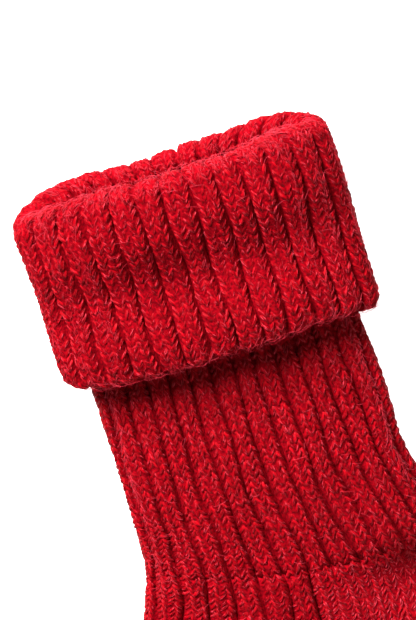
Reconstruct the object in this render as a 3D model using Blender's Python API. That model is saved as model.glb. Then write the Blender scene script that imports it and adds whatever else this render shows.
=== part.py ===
"""Chunky ribbed wool sock with a turned-down cuff, lying flat on its side.

The sock is one knitted tube. The cloth starts at the hem of the turned cuff, runs up to the rim,
rolls over it, and goes back down as the leg, round the ankle and along the foot to the toe. Each
row of the mesh is a ring round that tube, worked out from the sizes below. The cloth has two
faces: the right side shows on the leg and lines the cuff, and the wrong side shows on the cuff
and lines the leg. The cuff, leg, heel, foot and toe are solids of their own, a narrow gap apart.

Axes: the leg runs along Y with the cuff at +Y, the heel is at +X, the toe points to -X, and the
underside rests on Z = 0. The origin is under the middle of the sock. Lengths are millimetres
until the meshes are made.
"""

import math
from collections import namedtuple

import bmesh
import bpy
import numpy as np

MM = 0.001

# The cloth.
CLOTH = 2.4  # the wall's thickness, without its ribs
RIB_DEPTH = 1.6  # from the top of a rib to the furrow beside it
REACH = RIB_DEPTH / 2  # how far a rib stands out of the wall's middle line
LINING_RELIEF = 0.7  # the share of the ribs that the hidden face shows
RIBS = 26  # all round the tube
SEAM_GAP = 0.3  # between pieces that meet

# The turned cuff and the leg, lying flat. Y is 0 at the cuff's hem.
CUFF_WIDTH = 102.5  # over its ribs; 99.5 in the furrow at each side
CUFF_THICK = 24.0
CUFF_HEIGHT = 60.0  # from the hem to the top of the rim
CUFF_EDGE = 10.0  # the height of the cuff's side edges
LEG_WIDTH = 88.0
LEG_THICK = 16.5
LEG_EDGE = 6.0
LAYER_GAP = 0.8  # air between the leg and the cuff turned over it
CORNER_DROP = 4.5  # how much lower the rim is at its two sides
CORNER_POWER = 6  # the higher, the tighter the corners of the rim and the hem
HEM_RISE = 3.0  # how much higher the hem is at its two sides
HEM_TUCK = 1.6  # how far the hem curls in
SETTLE = 16.0  # below the hem, where the leg has come down to the surface
GROUND = -0.9  # a resting ring's own lowest point, cut off flat at Z = 0, ribs and all

# The ankle.
BEND_START = 56.0  # below the hem, where the instep starts to curve
BEND_RADIUS = 92.0  # of the instep's edge
BEND = math.radians(65.0)  # from the leg's line to the foot's
HEEL_FROM, HEEL_TO = math.radians(7.5), math.radians(52.0)  # the stretch that is plain heel
HEEL_SWELL = 14.0  # how far the heel stands out behind the leg
SWELL_FROM, SWELL_TO = 50.0, 118.0  # below the hem
SWELL_LEAN = 1.05  # the back edge stands a little farther out than the leg's where it is measured
HEEL_CORNER = 16.0  # the higher, the sharper the heel's corner
ROW_SAG = 13.0  # how far the middle of a row runs ahead of its edges at the heel
HEEL_DIMPLE = 3.0  # the hollow where the ribs end and the plain heel begins
DIMPLE_AT, DIMPLE_SPREAD = 0.5, 0.35  # shares of the way from a ring's middle to its back edge
DIMPLE_ROW = math.radians(10.5)

# The foot and the toe cap.
FOOT_WIDTH = 90.0
FOOT_THICK = 15.0
FOOT_STRAIGHT = 44.0  # from the end of the bend to the toe cap
TOE_LENGTH = 45.0
TOE_REACH, TOE_ROUND = 0.97, 2.3  # how far along its round outline the toe is closed, and how square
TOE_THICK = 6.5
TOE_EDGE = 3.4

# The plain half of the round is the back one, between the two side lines.
SIDE_TOP, SIDE_UNDER = RIBS * 0.25, RIBS * 0.75
OVER_POWER, UNDER_POWER = 2.6, 5.0  # how square the upper and lower halves of a ring are
RING_SAMPLES = 400
ROLL_STEPS = 5
HEEL_STEPS = 10

# The wool. Its ribs stand up to the light, and plain knitting looks a little deeper.
RIB_RED = (0.53, 0.005, 0.014)
PLAIN_RED = (0.50, 0.005, 0.013)
WOOL_ROUGHNESS = 0.9

# A ring's shape: half its width, and the heights of its underside, side edges and top.
Shape = namedtuple("Shape", "half_width under edge over")
# A row of the cloth: the points of its two faces, and the pieces that own its front and back half.
Row = namedtuple("Row", "right_side wrong_side front back")


def mix(a, b, share):
    return a + (b - a) * share


def smooth(value):
    """0 below 0, 1 above 1, and an even curve between them."""
    t = min(max(value, 0.0), 1.0)
    return t * t * (3 - 2 * t)


def blend(a, b, share):
    """The shape at a share of the way from one ring shape to another."""
    return Shape(*(mix(p, q, share) for p, q in zip(a, b)))


def inset(shape, wall):
    """The shape of the face that lies a wall's thickness inside a ring shape."""
    return Shape(
        shape.half_width - wall, max(shape.under, 0.0) + wall, shape.edge, shape.over - wall
    )


def half_ring(half_width, rise, power, shares):
    """Points and outward normals on half a flattened ring, at shares of its length."""
    turn = np.linspace(0, math.pi, RING_SAMPLES)
    across = -np.sign(np.cos(turn)) * np.abs(np.cos(turn)) ** (2 / power) * half_width
    up = np.sin(turn) * rise
    steps = np.hypot(np.diff(across), np.diff(up))
    along = np.concatenate([[0], np.cumsum(steps)]) / steps.sum()
    normals = np.array([-np.gradient(up), np.gradient(across)])
    normals /= np.linalg.norm(normals, axis=0)
    return [np.interp(shares, along, line) for line in (across, up, *normals)]


def ring(shape, columns, ribs):
    """A ring's points: across, up, and the share of the way from its middle to its side edge.

    ribs is each column's share of the rib's reach, outward.
    """
    shares = columns / (RIBS / 2)
    over = shares < 1
    across, up, out, rise = np.zeros((4, len(columns)))
    across[over], up[over], out[over], rise[over] = half_ring(
        shape.half_width, shape.over - shape.edge, OVER_POWER, shares[over]
    )
    across[~over], up[~over], out[~over], rise[~over] = half_ring(
        shape.half_width, shape.edge - shape.under, UNDER_POWER, 2 - shares[~over]
    )
    up[~over] *= -1
    rise[~over] *= -1
    share = across / shape.half_width
    return across + out * ribs * REACH, shape.edge + up + rise * ribs * REACH, share


def rib_wave(columns):
    """1 on top of each rib of the leg and -1 in its furrows. The cuff's ribs are the furrows."""
    return np.cos(2 * math.pi * columns)


def level(y, lift):
    """Places a ring straight across the leg, its side edges lifted along Y."""

    def place(across, up, share):
        bowed = y + lift * np.abs(share) ** CORNER_POWER
        return np.column_stack([across, bowed, np.maximum(up, 0.0)])

    return place


def between(front, back, full_width, sag=0.0, dimple=0.0):
    """Places a ring between points on the instep's edge and the heel's or sole's edge."""
    middle, half = (front + back) / 2, (back - front) / 2
    side = half / np.linalg.norm(half)
    ahead = np.array([side[1], -side[0]])
    scale = np.linalg.norm(half) / full_width

    def place(across, up, share):
        plan = middle + np.outer(across * scale, side) + np.outer(sag * (1 - share**2), ahead)
        hollow = dimple * np.exp(-(((share - DIMPLE_AT) / DIMPLE_SPREAD) ** 2)) * (up > LEG_EDGE)
        return np.column_stack([plan, np.maximum(up - hollow, 0.0)])

    return place


def heel_reach(angle):
    """Distance of the back edge from the bend's centre, at an angle round the ankle."""
    down = BEND_START + (BEND_RADIUS + LEG_WIDTH) * SWELL_LEAN * math.tan(angle)
    swell = HEEL_SWELL * smooth((down - SWELL_FROM) / (SWELL_TO - SWELL_FROM))
    back = (BEND_RADIUS + LEG_WIDTH + swell) / math.cos(angle)
    sole = (BEND_RADIUS + FOOT_WIDTH) / math.cos(BEND - angle)
    return (back**-HEEL_CORNER + sole**-HEEL_CORNER) ** (-1 / HEEL_CORNER)


def ankle_edges(angle):
    """The instep's edge and the heel's edge at an angle round the ankle."""
    centre = np.array([-LEG_WIDTH / 2 - BEND_RADIUS, -BEND_START])
    out = np.array([math.cos(angle), -math.sin(angle)])
    return centre + out * BEND_RADIUS, centre + out * heel_reach(angle)


def foot_edges(distance, share):
    """The foot's two edges at a distance past the bend, at a share of the foot's width."""
    front, back = ankle_edges(BEND)
    ahead = np.array([-math.sin(BEND), -math.cos(BEND)])
    middle, half = (front + back) / 2 + ahead * distance, (back - front) / 2
    return middle - half * share, middle + half * share


def cuff_shape():
    return Shape(CUFF_WIDTH / 2 - REACH, GROUND, CUFF_EDGE, CUFF_THICK - REACH)


def leg_shape(settled):
    """The leg's outer ring: 0 where it is raised inside the cuff, 1 where it has settled."""
    under_cuff = cuff_shape().over - CLOTH - LAYER_GAP - 2 * REACH
    inside = Shape(LEG_WIDTH / 2 - REACH, CLOTH + LAYER_GAP + REACH, CUFF_EDGE, under_cuff)
    resting = Shape(inside.half_width, GROUND, LEG_EDGE, LEG_THICK - REACH)
    return blend(inside, resting, settled)


def cuff_rows(columns):
    """The turned cuff from its curled hem up to the roll."""
    roll_y = roll_height()
    rows = []
    for height, tuck in ((0.0, 1.0), (2.5, 0.3), (7.0, 0.0), (22.0, 0.0), (40.0, 0.0)):
        curl = HEM_TUCK * tuck
        full = cuff_shape()
        shown = Shape(full.half_width - curl, full.under, full.edge, full.over - curl)
        lining = inset(shown, CLOTH * mix(1.0, 0.7, tuck))
        place = level(height, mix(HEM_RISE, -CORNER_DROP, smooth(height / roll_y)))
        ribs = -rib_wave(columns)
        rows.append(
            Row(
                place(*ring(lining, columns, ribs * LINING_RELIEF * (1 - tuck))),
                place(*ring(shown, columns, ribs)),
                "cuff",
                "cuff",
            )
        )
    return rows


def roll_height():
    """The Y of the roll's middle line, which puts the top of the rim at CUFF_HEIGHT."""
    return CUFF_HEIGHT - (cuff_shape().over - inset(leg_shape(0.0), CLOTH).over) / 2


def roll_rows(columns):
    """The rim, where each column turns through half a circle from the cuff to the leg."""
    place = level(roll_height(), -CORNER_DROP)
    ribs = rib_wave(columns)

    def face(shape, relief):
        return place(*ring(shape, columns, relief))

    cuff, leg = cuff_shape(), leg_shape(0.0)
    right = face(inset(cuff, CLOTH), -ribs * LINING_RELIEF), face(leg, ribs)
    wrong = face(cuff, -ribs), face(inset(leg, CLOTH), ribs * LINING_RELIEF)
    rows = []
    for step in range(ROLL_STEPS + 1):
        turn = math.pi * step / ROLL_STEPS
        faces = []
        for start, end in (right, wrong):
            points = mix(start, end, (1 - math.cos(turn)) / 2)
            points[:, 1] += np.linalg.norm(end - start, axis=1) / 2 * math.sin(turn)
            faces.append(points)
        rows.append(Row(*faces, "cuff", "cuff"))
    return rows


def tube_row(columns, outer, place, plain, front, back):
    """A row of the leg, heel, foot or toe. plain is each column's share of plain knitting."""
    ribs = rib_wave(columns) * (1 - plain)
    inner = inset(outer, CLOTH)
    return Row(
        place(*ring(outer, columns, ribs)),
        place(*ring(inner, columns, ribs * LINING_RELIEF)),
        front,
        back,
    )


def leg_rows(columns):
    """The leg, inside the cuff and then down to where the instep starts to bend."""
    rows = []
    ribbed = np.zeros(len(columns))
    for y in (roll_height() - SEAM_GAP, 40.0, 20.0, 4.0, -3.0, -9.0, -SETTLE, -36.0):
        settled = smooth((4.0 - y) / (4.0 + SETTLE))
        place = level(y, -CORNER_DROP * smooth(y / roll_height()))
        rows.append(tube_row(columns, leg_shape(settled), place, ribbed, "leg", "leg"))
    return rows


def ankle_rows(columns):
    """The rings that fan round the instep, whose back half is the heel."""
    gap = SEAM_GAP / 2 / BEND_RADIUS
    heel_angles = [mix(HEEL_FROM, HEEL_TO, k / HEEL_STEPS) for k in range(2, HEEL_STEPS)]
    angles = [0.0, HEEL_FROM / 2, HEEL_FROM - gap, HEEL_FROM + gap, DIMPLE_ROW]
    angles += heel_angles + [HEEL_TO - gap, HEEL_TO + gap, BEND]
    rows = []
    for angle in angles:
        turned = angle / BEND
        outer = leg_shape(1.0)
        outer = outer._replace(over=mix(outer.over, FOOT_THICK - REACH, smooth(turned)))
        sag = ROW_SAG * math.cos(math.pi * turned) * smooth((angle + HEEL_FROM) / (2 * HEEL_FROM))
        sag *= smooth((BEND - angle) / (BEND - HEEL_TO))
        dimple = HEEL_DIMPLE if angle == DIMPLE_ROW else 0.0
        place = between(*ankle_edges(angle), LEG_WIDTH / 2, sag, dimple)
        front = "leg" if angle < HEEL_TO else "foot"
        back = "heel" if HEEL_FROM < angle < HEEL_TO else front
        plain = back_half(columns) * (angle > HEEL_FROM)
        rows.append(tube_row(columns, outer, place, plain, front, back))
    return rows


def foot_rows(columns):
    """The foot, and the toe cap that narrows and thins to its closing seam."""
    gap = SEAM_GAP / 2
    stations = [(22.0, 0.0), (FOOT_STRAIGHT - gap, 0.0), (FOOT_STRAIGHT + gap, 0.0)]
    stations += [(FOOT_STRAIGHT + TOE_LENGTH * k, k) for k in (0.3, 0.52, 0.7, 0.83, 0.92, 1.0)]
    rows = []
    for distance, along in stations:
        piece = "toe" if distance > FOOT_STRAIGHT else "foot"
        share = (1 - (TOE_REACH * along) ** TOE_ROUND) ** (1 / TOE_ROUND)
        thin = smooth(along)
        outer = Shape(
            FOOT_WIDTH / 2 * share - REACH,
            GROUND,
            mix(LEG_EDGE, TOE_EDGE, thin),
            mix(FOOT_THICK - REACH, TOE_THICK, thin),
        )
        place = between(*foot_edges(distance, share), FOOT_WIDTH / 2 * share)
        plain = np.ones(len(columns)) if piece == "toe" else back_half(columns)
        rows.append(tube_row(columns, outer, place, plain, piece, piece))
    return rows


def back_half(columns):
    """1 for the columns between the two side lines, round the heel and sole."""
    return ((columns > SIDE_TOP) & (columns < SIDE_UNDER)).astype(float)


def ring_columns():
    """Two columns a rib, with a narrow gap on each side line for the heel's edges."""
    gap = SEAM_GAP / 2 / (LEG_WIDTH * 2 / RIBS)
    halves = np.arange(2 * RIBS) / 2
    halves = halves[(halves != SIDE_TOP) & (halves != SIDE_UNDER)]
    edges = [line + side for line in (SIDE_TOP, SIDE_UNDER) for side in (-gap, gap)]
    return np.sort(np.concatenate([halves, edges]))


def cell_piece(rows, columns, i, j):
    """The piece that owns the cell after row i and column j, or None in a gap."""
    start, end = columns[j], columns[(j + 1) % len(columns)] or RIBS
    on_side_line = any(start < line < end for line in (SIDE_TOP, SIDE_UNDER))
    at_back = start > SIDE_TOP and end < SIDE_UNDER
    owners = set()
    for row in rows[i : i + 2]:
        if on_side_line or not at_back:
            owners.add(row.front)
        if on_side_line or at_back:
            owners.add(row.back)
    return owners.pop() if len(owners) == 1 else None


def toe_caps(count, row):
    """Faces that close the toe's last row, each a quad from its upper to its lower half."""
    half = count // 2
    for j in range(half):
        corners = [j, j + 1, (count - j - 1) % count, (count - j) % count]
        yield [(row, column) for column in dict.fromkeys(corners)]


def build_piece(name, rows, columns, colour):
    """One piece as a closed wall: its two faces, with edges wherever its cells end."""
    count = len(columns)
    owned = {
        (i, j)
        for i in range(len(rows) - 1)
        for j in range(count)
        if cell_piece(rows, columns, i, j) == name
    }
    bm = bmesh.new()
    points = {}

    def point(side, i, j):
        key = side, i, j % count
        if key not in points:
            points[key] = bm.verts.new(np.asarray(rows[i][side][j % count]) * MM)
        return points[key]

    def wall(first, second):
        bm.faces.new([point(0, *first), point(0, *second), point(1, *second), point(1, *first)])

    for i, j in owned:
        corners = (i, j), (i, j + 1), (i + 1, j + 1), (i + 1, j)
        for side in (0, 1):
            bm.faces.new([point(side, *corner) for corner in corners])
        neighbours = (i - 1, j), (i, (j + 1) % count), (i + 1, j), (i, (j - 1) % count)
        for k, neighbour in enumerate(neighbours):
            closed_by_cap = name == "toe" and neighbour[0] == len(rows) - 1
            if neighbour not in owned and not closed_by_cap:
                wall(corners[k], corners[(k + 1) % 4])
    if name == "toe":
        for side in (0, 1):
            for cap in toe_caps(count, len(rows) - 1):
                bm.faces.new([point(side, *corner) for corner in cap])
    bmesh.ops.recalc_face_normals(bm, faces=bm.faces)

    mesh = bpy.data.meshes.new(name)
    bm.to_mesh(mesh)
    bm.free()
    mesh.shade_smooth()
    mesh.set_sharp_from_angle(angle=math.radians(60))
    mesh.materials.append(wool(name, colour))
    return bpy.data.objects.new(name, mesh)


def wool(name, colour):
    material = bpy.data.materials.new(f"{name}_wool")
    material.use_nodes = True
    shader = material.node_tree.nodes["Principled BSDF"]
    shader.inputs["Base Color"].default_value = (*colour, 1.0)
    shader.inputs["Roughness"].default_value = WOOL_ROUGHNESS
    shader.inputs["Metallic"].default_value = 0.0
    return material


def toe_lining(rows):
    """Pulls the lining's last row back from the toe's tip, so that the tip is a wall too."""
    last = rows[-1]
    back = np.array([math.sin(BEND), math.cos(BEND), 0.0]) * CLOTH
    return rows[:-1] + [last._replace(wrong_side=last.wrong_side + back)]


def centred(rows):
    """The rows moved so that the origin is under the middle of the sock."""
    everything = np.concatenate([face for row in rows for face in (row.right_side, row.wrong_side)])
    middle = (everything.min(axis=0) + everything.max(axis=0)) / 2
    middle[2] = 0.0
    return [
        row._replace(right_side=row.right_side - middle, wrong_side=row.wrong_side - middle)
        for row in rows
    ]


def main():
    for old in list(bpy.data.objects):
        bpy.data.objects.remove(old)
    columns = ring_columns()
    rows = cuff_rows(columns) + roll_rows(columns) + leg_rows(columns)
    rows += ankle_rows(columns) + foot_rows(columns)
    rows = centred(toe_lining(rows))

    collection = bpy.data.collections.new("wool_sock")
    bpy.context.scene.collection.children.link(collection)
    origin = bpy.data.objects.new("sock_origin", None)
    collection.objects.link(origin)
    for name, colour in (
        ("cuff", RIB_RED),
        ("leg", RIB_RED),
        ("heel", PLAIN_RED),
        ("foot", RIB_RED),
        ("toe", PLAIN_RED),
    ):
        piece = build_piece(name, rows, columns, colour)
        piece.parent = origin
        collection.objects.link(piece)


main()
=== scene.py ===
"""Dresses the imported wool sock: its cloth, its knitted stitches, loose fibres and the studio.

The sock is one knitted tube. From the hem of the turned cuff the cloth runs up to the rim, rolls
over it, and goes back down as the leg, round the ankle and along the foot to the toe. Each face
of the cloth that shows is worked out here as a net of points, round the tube and along it, and
the stitches are laid on that net: two legs of yarn for each knitted stitch, with thin bundles of
fibres along them. The cloth behind them carries the ribs and the furrows, and closes the tube.

Sizes are millimetres in the sock's own frame, with X = 0 on the leg's middle line and Y = 0 at
the cuff's hem, until a mesh is made. The frame's boxes say where that is in the world.
"""

import logging
import math
from dataclasses import dataclass, field
from enum import Enum

import bpy
import numpy as np
from mathutils import Matrix, Vector

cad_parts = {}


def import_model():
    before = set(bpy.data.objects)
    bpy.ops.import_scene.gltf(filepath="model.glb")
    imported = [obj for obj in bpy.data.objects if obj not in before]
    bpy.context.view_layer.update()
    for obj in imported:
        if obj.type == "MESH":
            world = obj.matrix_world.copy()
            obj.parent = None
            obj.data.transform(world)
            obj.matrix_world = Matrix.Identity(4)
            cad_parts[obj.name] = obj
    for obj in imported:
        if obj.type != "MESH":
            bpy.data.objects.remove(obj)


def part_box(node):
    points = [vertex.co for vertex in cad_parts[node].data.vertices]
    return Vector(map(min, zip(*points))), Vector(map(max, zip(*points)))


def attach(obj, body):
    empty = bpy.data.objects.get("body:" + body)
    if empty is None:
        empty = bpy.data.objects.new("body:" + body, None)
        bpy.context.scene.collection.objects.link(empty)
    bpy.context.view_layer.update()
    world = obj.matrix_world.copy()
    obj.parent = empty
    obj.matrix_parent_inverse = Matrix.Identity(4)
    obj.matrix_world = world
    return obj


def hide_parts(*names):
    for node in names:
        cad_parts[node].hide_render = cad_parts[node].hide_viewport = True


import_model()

log = logging.getLogger("wool_sock")

MM = 0.001
BODY = "root"
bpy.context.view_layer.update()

RIBS = 26.0  # round the tube
TOP_MIDDLE = RIBS / 4  # the column along the middle of the upper side
# Ridges counted from the instep's edge. The cuff's lie half a rib further round than the tube's.
CUFF_TOP, CUFF_BELOW, CUFF_EDGES = slice(0, 13), slice(13, 26), [13, 14, 24, 25]
LEG_TOP, LEG_EDGES = slice(0, 14), [14, 15, 24, 25]
INSTEP_TOP, INSTEP_EDGE = slice(0, 7), slice(24, 26)
SEED = 7
TINY = 1e-9  # keeps a length off zero before something is divided by it
NEVER = 1e6  # mm; further along than any net reaches

Number = float | np.ndarray
Span = tuple[float, float]


def smooth(value: Number) -> Number:
    """0 below 0, 1 above 1, and an even curve between them."""
    t = np.clip(value, 0.0, 1.0)
    return t * t * (3 - 2 * t)


def mix(a: Number, b: Number, share: Number) -> Number:
    """The value at a share of the way from a to b."""
    return a + (b - a) * share


def linear(code: str) -> tuple[float, float, float, float]:
    """Turns a colour's sRGB hex code into linear red, green, blue and alpha.

    Args:
        code: six hex digits.

    Returns:
        The colour as the sockets of a shader take it.
    """
    parts = [int(code[i : i + 2], 16) / 255 for i in (0, 2, 4)]
    made = [c / 12.92 if c <= 0.04045 else ((c + 0.055) / 1.055) ** 2.4 for c in parts]
    return (*made, 1.0)


def world(points: np.ndarray) -> np.ndarray:
    """Moves points from the sock's frame, in mm, to the world, in metres."""
    low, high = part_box("cuff")
    return points * MM + np.array([(low.x + high.x) / 2, low.y, 0.0])


# ------------------------------------------------------------------------------ the sock's form


@dataclass(frozen=True)
class Ring:
    """A flattened ring round the tube: half its width, and its heights at three places."""

    half_width: float
    under: float
    edge: float
    over: float

    def inset(self, wall: float) -> "Ring":
        """The ring that lies a wall's thickness inside this one."""
        under = max(self.under, 0.0) + wall
        return Ring(self.half_width - wall, under, self.edge, self.over - wall)

    def towards(self, other: "Ring", share: float) -> "Ring":
        """Blends this ring with another.

        Args:
            other: the ring to go to.
            share: how much of the way.

        Returns:
            The ring between them.
        """
        return Ring(
            mix(self.half_width, other.half_width, share),
            mix(self.under, other.under, share),
            mix(self.edge, other.edge, share),
            mix(self.over, other.over, share),
        )


@dataclass
class Net:
    """One face of the cloth as a net of points.

    Attributes:
        points: rows x columns x 3, in the sock's frame.
        columns: each column's place round the tube, in ribs.
        facing: 1 where across x along points out of the cloth, and -1 where it points in.
        along: each row's distance along the middle of the upper side, in mm.
        normals: the unit vector out of the cloth at each point.
        across_step: the way to go at each point for one more rib round the tube, in mm.
    """

    points: np.ndarray
    columns: np.ndarray
    facing: float
    along: np.ndarray = field(init=False)
    normals: np.ndarray = field(init=False)
    across_step: np.ndarray = field(init=False)

    def __post_init__(self) -> None:
        """Measures the rows and finds the normals."""
        middle = int(np.argmin(np.abs(self.columns - TOP_MIDDLE)))
        steps = np.linalg.norm(np.diff(self.points[:, middle], axis=0), axis=1)
        self.along = np.concatenate([[0.0], np.cumsum(steps)])
        self.across_step = np.gradient(self.points, self.columns, axis=1)
        along_step = np.gradient(self.points, self.along, axis=0)
        normals = np.cross(self.across_step, along_step) * self.facing
        self.normals = normals / np.maximum(np.linalg.norm(normals, axis=2, keepdims=True), TINY)

    def look_up(self, values: np.ndarray, u: np.ndarray, v: np.ndarray) -> np.ndarray:
        """Reads values kept on the net at places between its points.

        Args:
            values: rows x columns x 3.
            u: places round the tube, in ribs.
            v: distances along it, in mm.

        Returns:
            The values there, with the shape of u plus one axis.
        """
        last_row, last_column = values.shape[0] - 2, values.shape[1] - 2
        row = np.interp(v, self.along, np.arange(len(self.along)))
        column = np.interp(u, self.columns, np.arange(len(self.columns)))
        i = np.clip(row.astype(int), 0, last_row)
        j = np.clip(column.astype(int), 0, last_column)
        down, right = (row - i)[..., None], (column - j)[..., None]
        upper = values[i, j] * (1 - right) + values[i, j + 1] * right
        lower = values[i + 1, j] * (1 - right) + values[i + 1, j + 1] * right
        return upper * (1 - down) + lower * down

    def place(self, u: np.ndarray, v: np.ndarray, height: np.ndarray) -> np.ndarray:
        """Points at a height over the net."""
        out = self.look_up(self.normals, u, v) * height[..., None]
        return self.look_up(self.points, u, v) + out


# Rows of the cuff's net: round the hem, up its side, over the rim and down the lining.
CURL_ROWS, FACE_ROWS, ROLL_ROWS, LINING_ROWS = 12, 39, 14, 19
# Rows of the tube's net: inside the cuff, down the leg, round the ankle, along the foot and toe.
RAISED_ROWS, LEG_ROWS, ANKLE_ROWS, FOOT_ROWS, TOE_ROWS = 30, 30, 87, 38, 30
TOE_END_SHARES = (0.35, 0.7, 0.9, 1.0)  # where the rows that close the toe are
HALF_RING_POINTS = 400  # that a half ring's length is measured with


@dataclass(frozen=True)
class SockForm:
    """The sock's shape, close to its solids', in millimetres and radians.

    Heights called edge are those of the side edges, and Y is measured up from the hem. The front
    is the instep's side and the back is the heel's.
    """

    cloth: float = 2.4  # how thick the wall is
    reach: float = 0.8  # how far the stitches stand out from the net
    ground: float = -0.4  # where the underside's net lies, so that the cloth on it is pressed flat
    over_power: float = 2.6  # how square the upper side of a ring is
    under_power: float = 5.0  # how square its underside is
    edge_bow: int = 6  # the higher, the nearer to the side edges a row starts to bow

    cuff_width: float = 101.0
    cuff_thick: float = 24.0
    cuff_height: float = 60.0
    cuff_edge: float = 10.0
    layer_gap: float = 0.8  # between the cuff and the leg inside it
    corner_drop: float = 4.5  # the rim's corners are this much lower than its middle
    corner_rise: float = 2.4  # and the back one is this much higher than the front one
    rim_drop: float = 1.6  # how much thinner the cuff gets up to the rim
    crest_at: float = 45.0  # Y of the crest under the rim
    sag: float = 3.3  # how far the turned layers sag between that crest and the hem's
    sag_at: float = 27.0  # Y of the lowest part of the sag
    hem_crest: float = 8.0  # Y of the crest over the hem
    hem_drop: float = 1.3  # how much thinner the cuff gets down to the hem
    hem_curl: float = 1.3  # radius
    hem_wrap: float = 165.0  # degrees from the side of the cuff to the end of the curl
    hem_rise: float = 1.0  # the hem's front corner is this much higher than its middle
    hem_fall: float = 6.0  # and its back corner is this much lower than the front one
    hem_low: float = 1.8  # how much longer the cuff hangs than its solid
    hem_low_to: float = 30.0  # Y where the two are level again
    hem_round: float = 4.0  # radius of the hem's corners
    lining_depth: float = 24.0  # how far down into the mouth the cuff's net goes

    leg_width: float = 88.0
    leg_thick: float = 16.5
    leg_edge: float = 6.0
    settle_from: float = 2.0  # Y where the leg starts to come down from inside the cuff
    settle_to: float = -8.0  # Y where it lies on the surface
    hem_press: float = 4.0  # how much the hem presses the leg down
    hem_squeeze: float = 1.3  # how much narrower each side is just under the hem

    bend_start: float = 56.0  # from the hem to the start of the instep's bend
    bend_radius: float = 92.0
    bend: float = math.radians(65.0)
    heel_from: float = math.radians(10.6)  # round the bend, where plain knitting starts
    heel_to: float = math.radians(52.0)
    heel_swell: float = 14.0  # how far the heel stands out behind the leg
    swell_from: float = 50.0  # from the hem to where it starts to
    swell_to: float = 118.0
    swell_slant: float = 1.05  # how much further out than the leg's back the swell is measured
    heel_corner: float = 16.0  # the higher, the sharper the heel's corner
    row_sag: float = 13.0  # how far the middle of a row runs ahead of its ends
    sag_in: float = 2.5  # full by this many times the angle where the heel starts
    heel_dimple: float = 7.0  # depth of the hollow over the heel
    dimple_row: float = math.radians(13.8)
    dimple_above: float = math.radians(2.6)
    dimple_below: float = math.radians(4.5)
    dimple_at: float = 0.70  # from the row's middle to its back edge
    dimple_wide: float = 0.36
    dimple_clear: float = 4.0  # how high over the edge it is at its full depth

    foot_width: float = 90.0
    foot_thick: float = 15.0
    foot_straight: float = 44.0
    toe_length: float = 45.0
    toe_reach: float = 0.97  # how much of its round the toe cap has run through at its end
    toe_round: float = 2.3  # how square the cap is
    toe_thick: float = 6.5
    toe_edge: float = 3.4
    toe_close: float = 2.4  # over which the layers come together
    toe_crowd: float = 1.5  # how much closer the rows are at the toe's end
    thinnest: float = 0.2  # how thin half of the hollow gets there

    @property
    def cuff_ring(self) -> Ring:
        """The turned cuff's outer ring."""
        half, over = self.cuff_width / 2 - self.reach, self.cuff_thick - self.reach
        return Ring(half, self.ground, self.cuff_edge, over)

    def leg_ring(self, settled: float) -> Ring:
        """The leg's outer ring.

        Args:
            settled: 0 where it is raised inside the cuff, 1 where it lies on the surface.

        Returns:
            The ring between those two.
        """
        half = self.leg_width / 2 - self.reach
        under_cuff = self.cuff_ring.over - self.cloth - self.layer_gap - 2 * self.reach
        raised = Ring(half, self.cloth + self.layer_gap + self.reach, self.cuff_edge, under_cuff)
        resting = Ring(half, self.ground, self.leg_edge, self.leg_thick - self.reach)
        return raised.towards(resting, settled)

    @property
    def roll_y(self) -> float:
        """The Y of the roll's middle line, which puts the top of the rim at the cuff's height."""
        lining = self.leg_ring(0.0).inset(self.cloth)
        return self.cuff_height - (self.cuff_ring.over - lining.over) / 2

    def sunk(self, ring: Ring, y: float) -> Ring:
        """A ring with its upper side lower, where the turned layers sag and near their rim.

        Args:
            ring: a ring of the cuff, its lining or the leg inside it.
            y: where it is.

        Returns:
            The lowered ring.
        """
        if y > self.crest_at:
            drop = self.rim_drop * ((y - self.crest_at) / (self.roll_y - self.crest_at)) ** 2
        elif y > self.sag_at:
            drop = self.sag * float(smooth((self.crest_at - y) / (self.crest_at - self.sag_at)))
        else:
            drop = self.sag * float(smooth((y - self.hem_crest) / (self.sag_at - self.hem_crest)))
            drop += self.hem_drop * min(max(1 - y / self.hem_crest, 0.0), 1.0) ** 2
        return Ring(ring.half_width, ring.under, ring.edge, ring.over - drop)

    def corner_cut(self, height: float) -> float:
        """How much narrower the cuff is at each side, near the hem's round corners."""
        left = max(self.hem_round - height, 0.0)
        return self.hem_round - math.sqrt(self.hem_round**2 - left**2)

    def half_ring(
        self, half_width: float, rise: float, power: float, shares: np.ndarray
    ) -> tuple[np.ndarray, np.ndarray]:
        """Points on half a flattened ring, evenly spaced along it.

        Args:
            half_width: half of its width.
            rise: its height over the side edges.
            power: how square it is.
            shares: how far along its length each point is.

        Returns:
            The distances across and up.
        """
        turn = np.linspace(0, math.pi, HALF_RING_POINTS)
        across = -np.sign(np.cos(turn)) * np.abs(np.cos(turn)) ** (2 / power) * half_width
        up = np.sin(turn) * rise
        steps = np.hypot(np.diff(across), np.diff(up))
        length = np.concatenate([[0], np.cumsum(steps)]) / max(steps.sum(), TINY)
        return np.interp(shares, length, across), np.interp(shares, length, up)

    def ring_line(self, ring: Ring, columns: np.ndarray) -> tuple[np.ndarray, np.ndarray]:
        """A whole ring's points.

        Args:
            ring: the ring.
            columns: places round the tube, in ribs.

        Returns:
            The distances across and up.
        """
        shares = (columns % RIBS) / (RIBS / 2)
        over = shares < 1
        upper = self.half_ring(ring.half_width, ring.over - ring.edge, self.over_power, shares)
        lower = self.half_ring(
            ring.half_width, ring.edge - ring.under, self.under_power, 2 - shares
        )
        across = np.where(over, upper[0], lower[0])
        up = ring.edge + np.where(over, upper[1], -lower[1])
        return across, up

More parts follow.
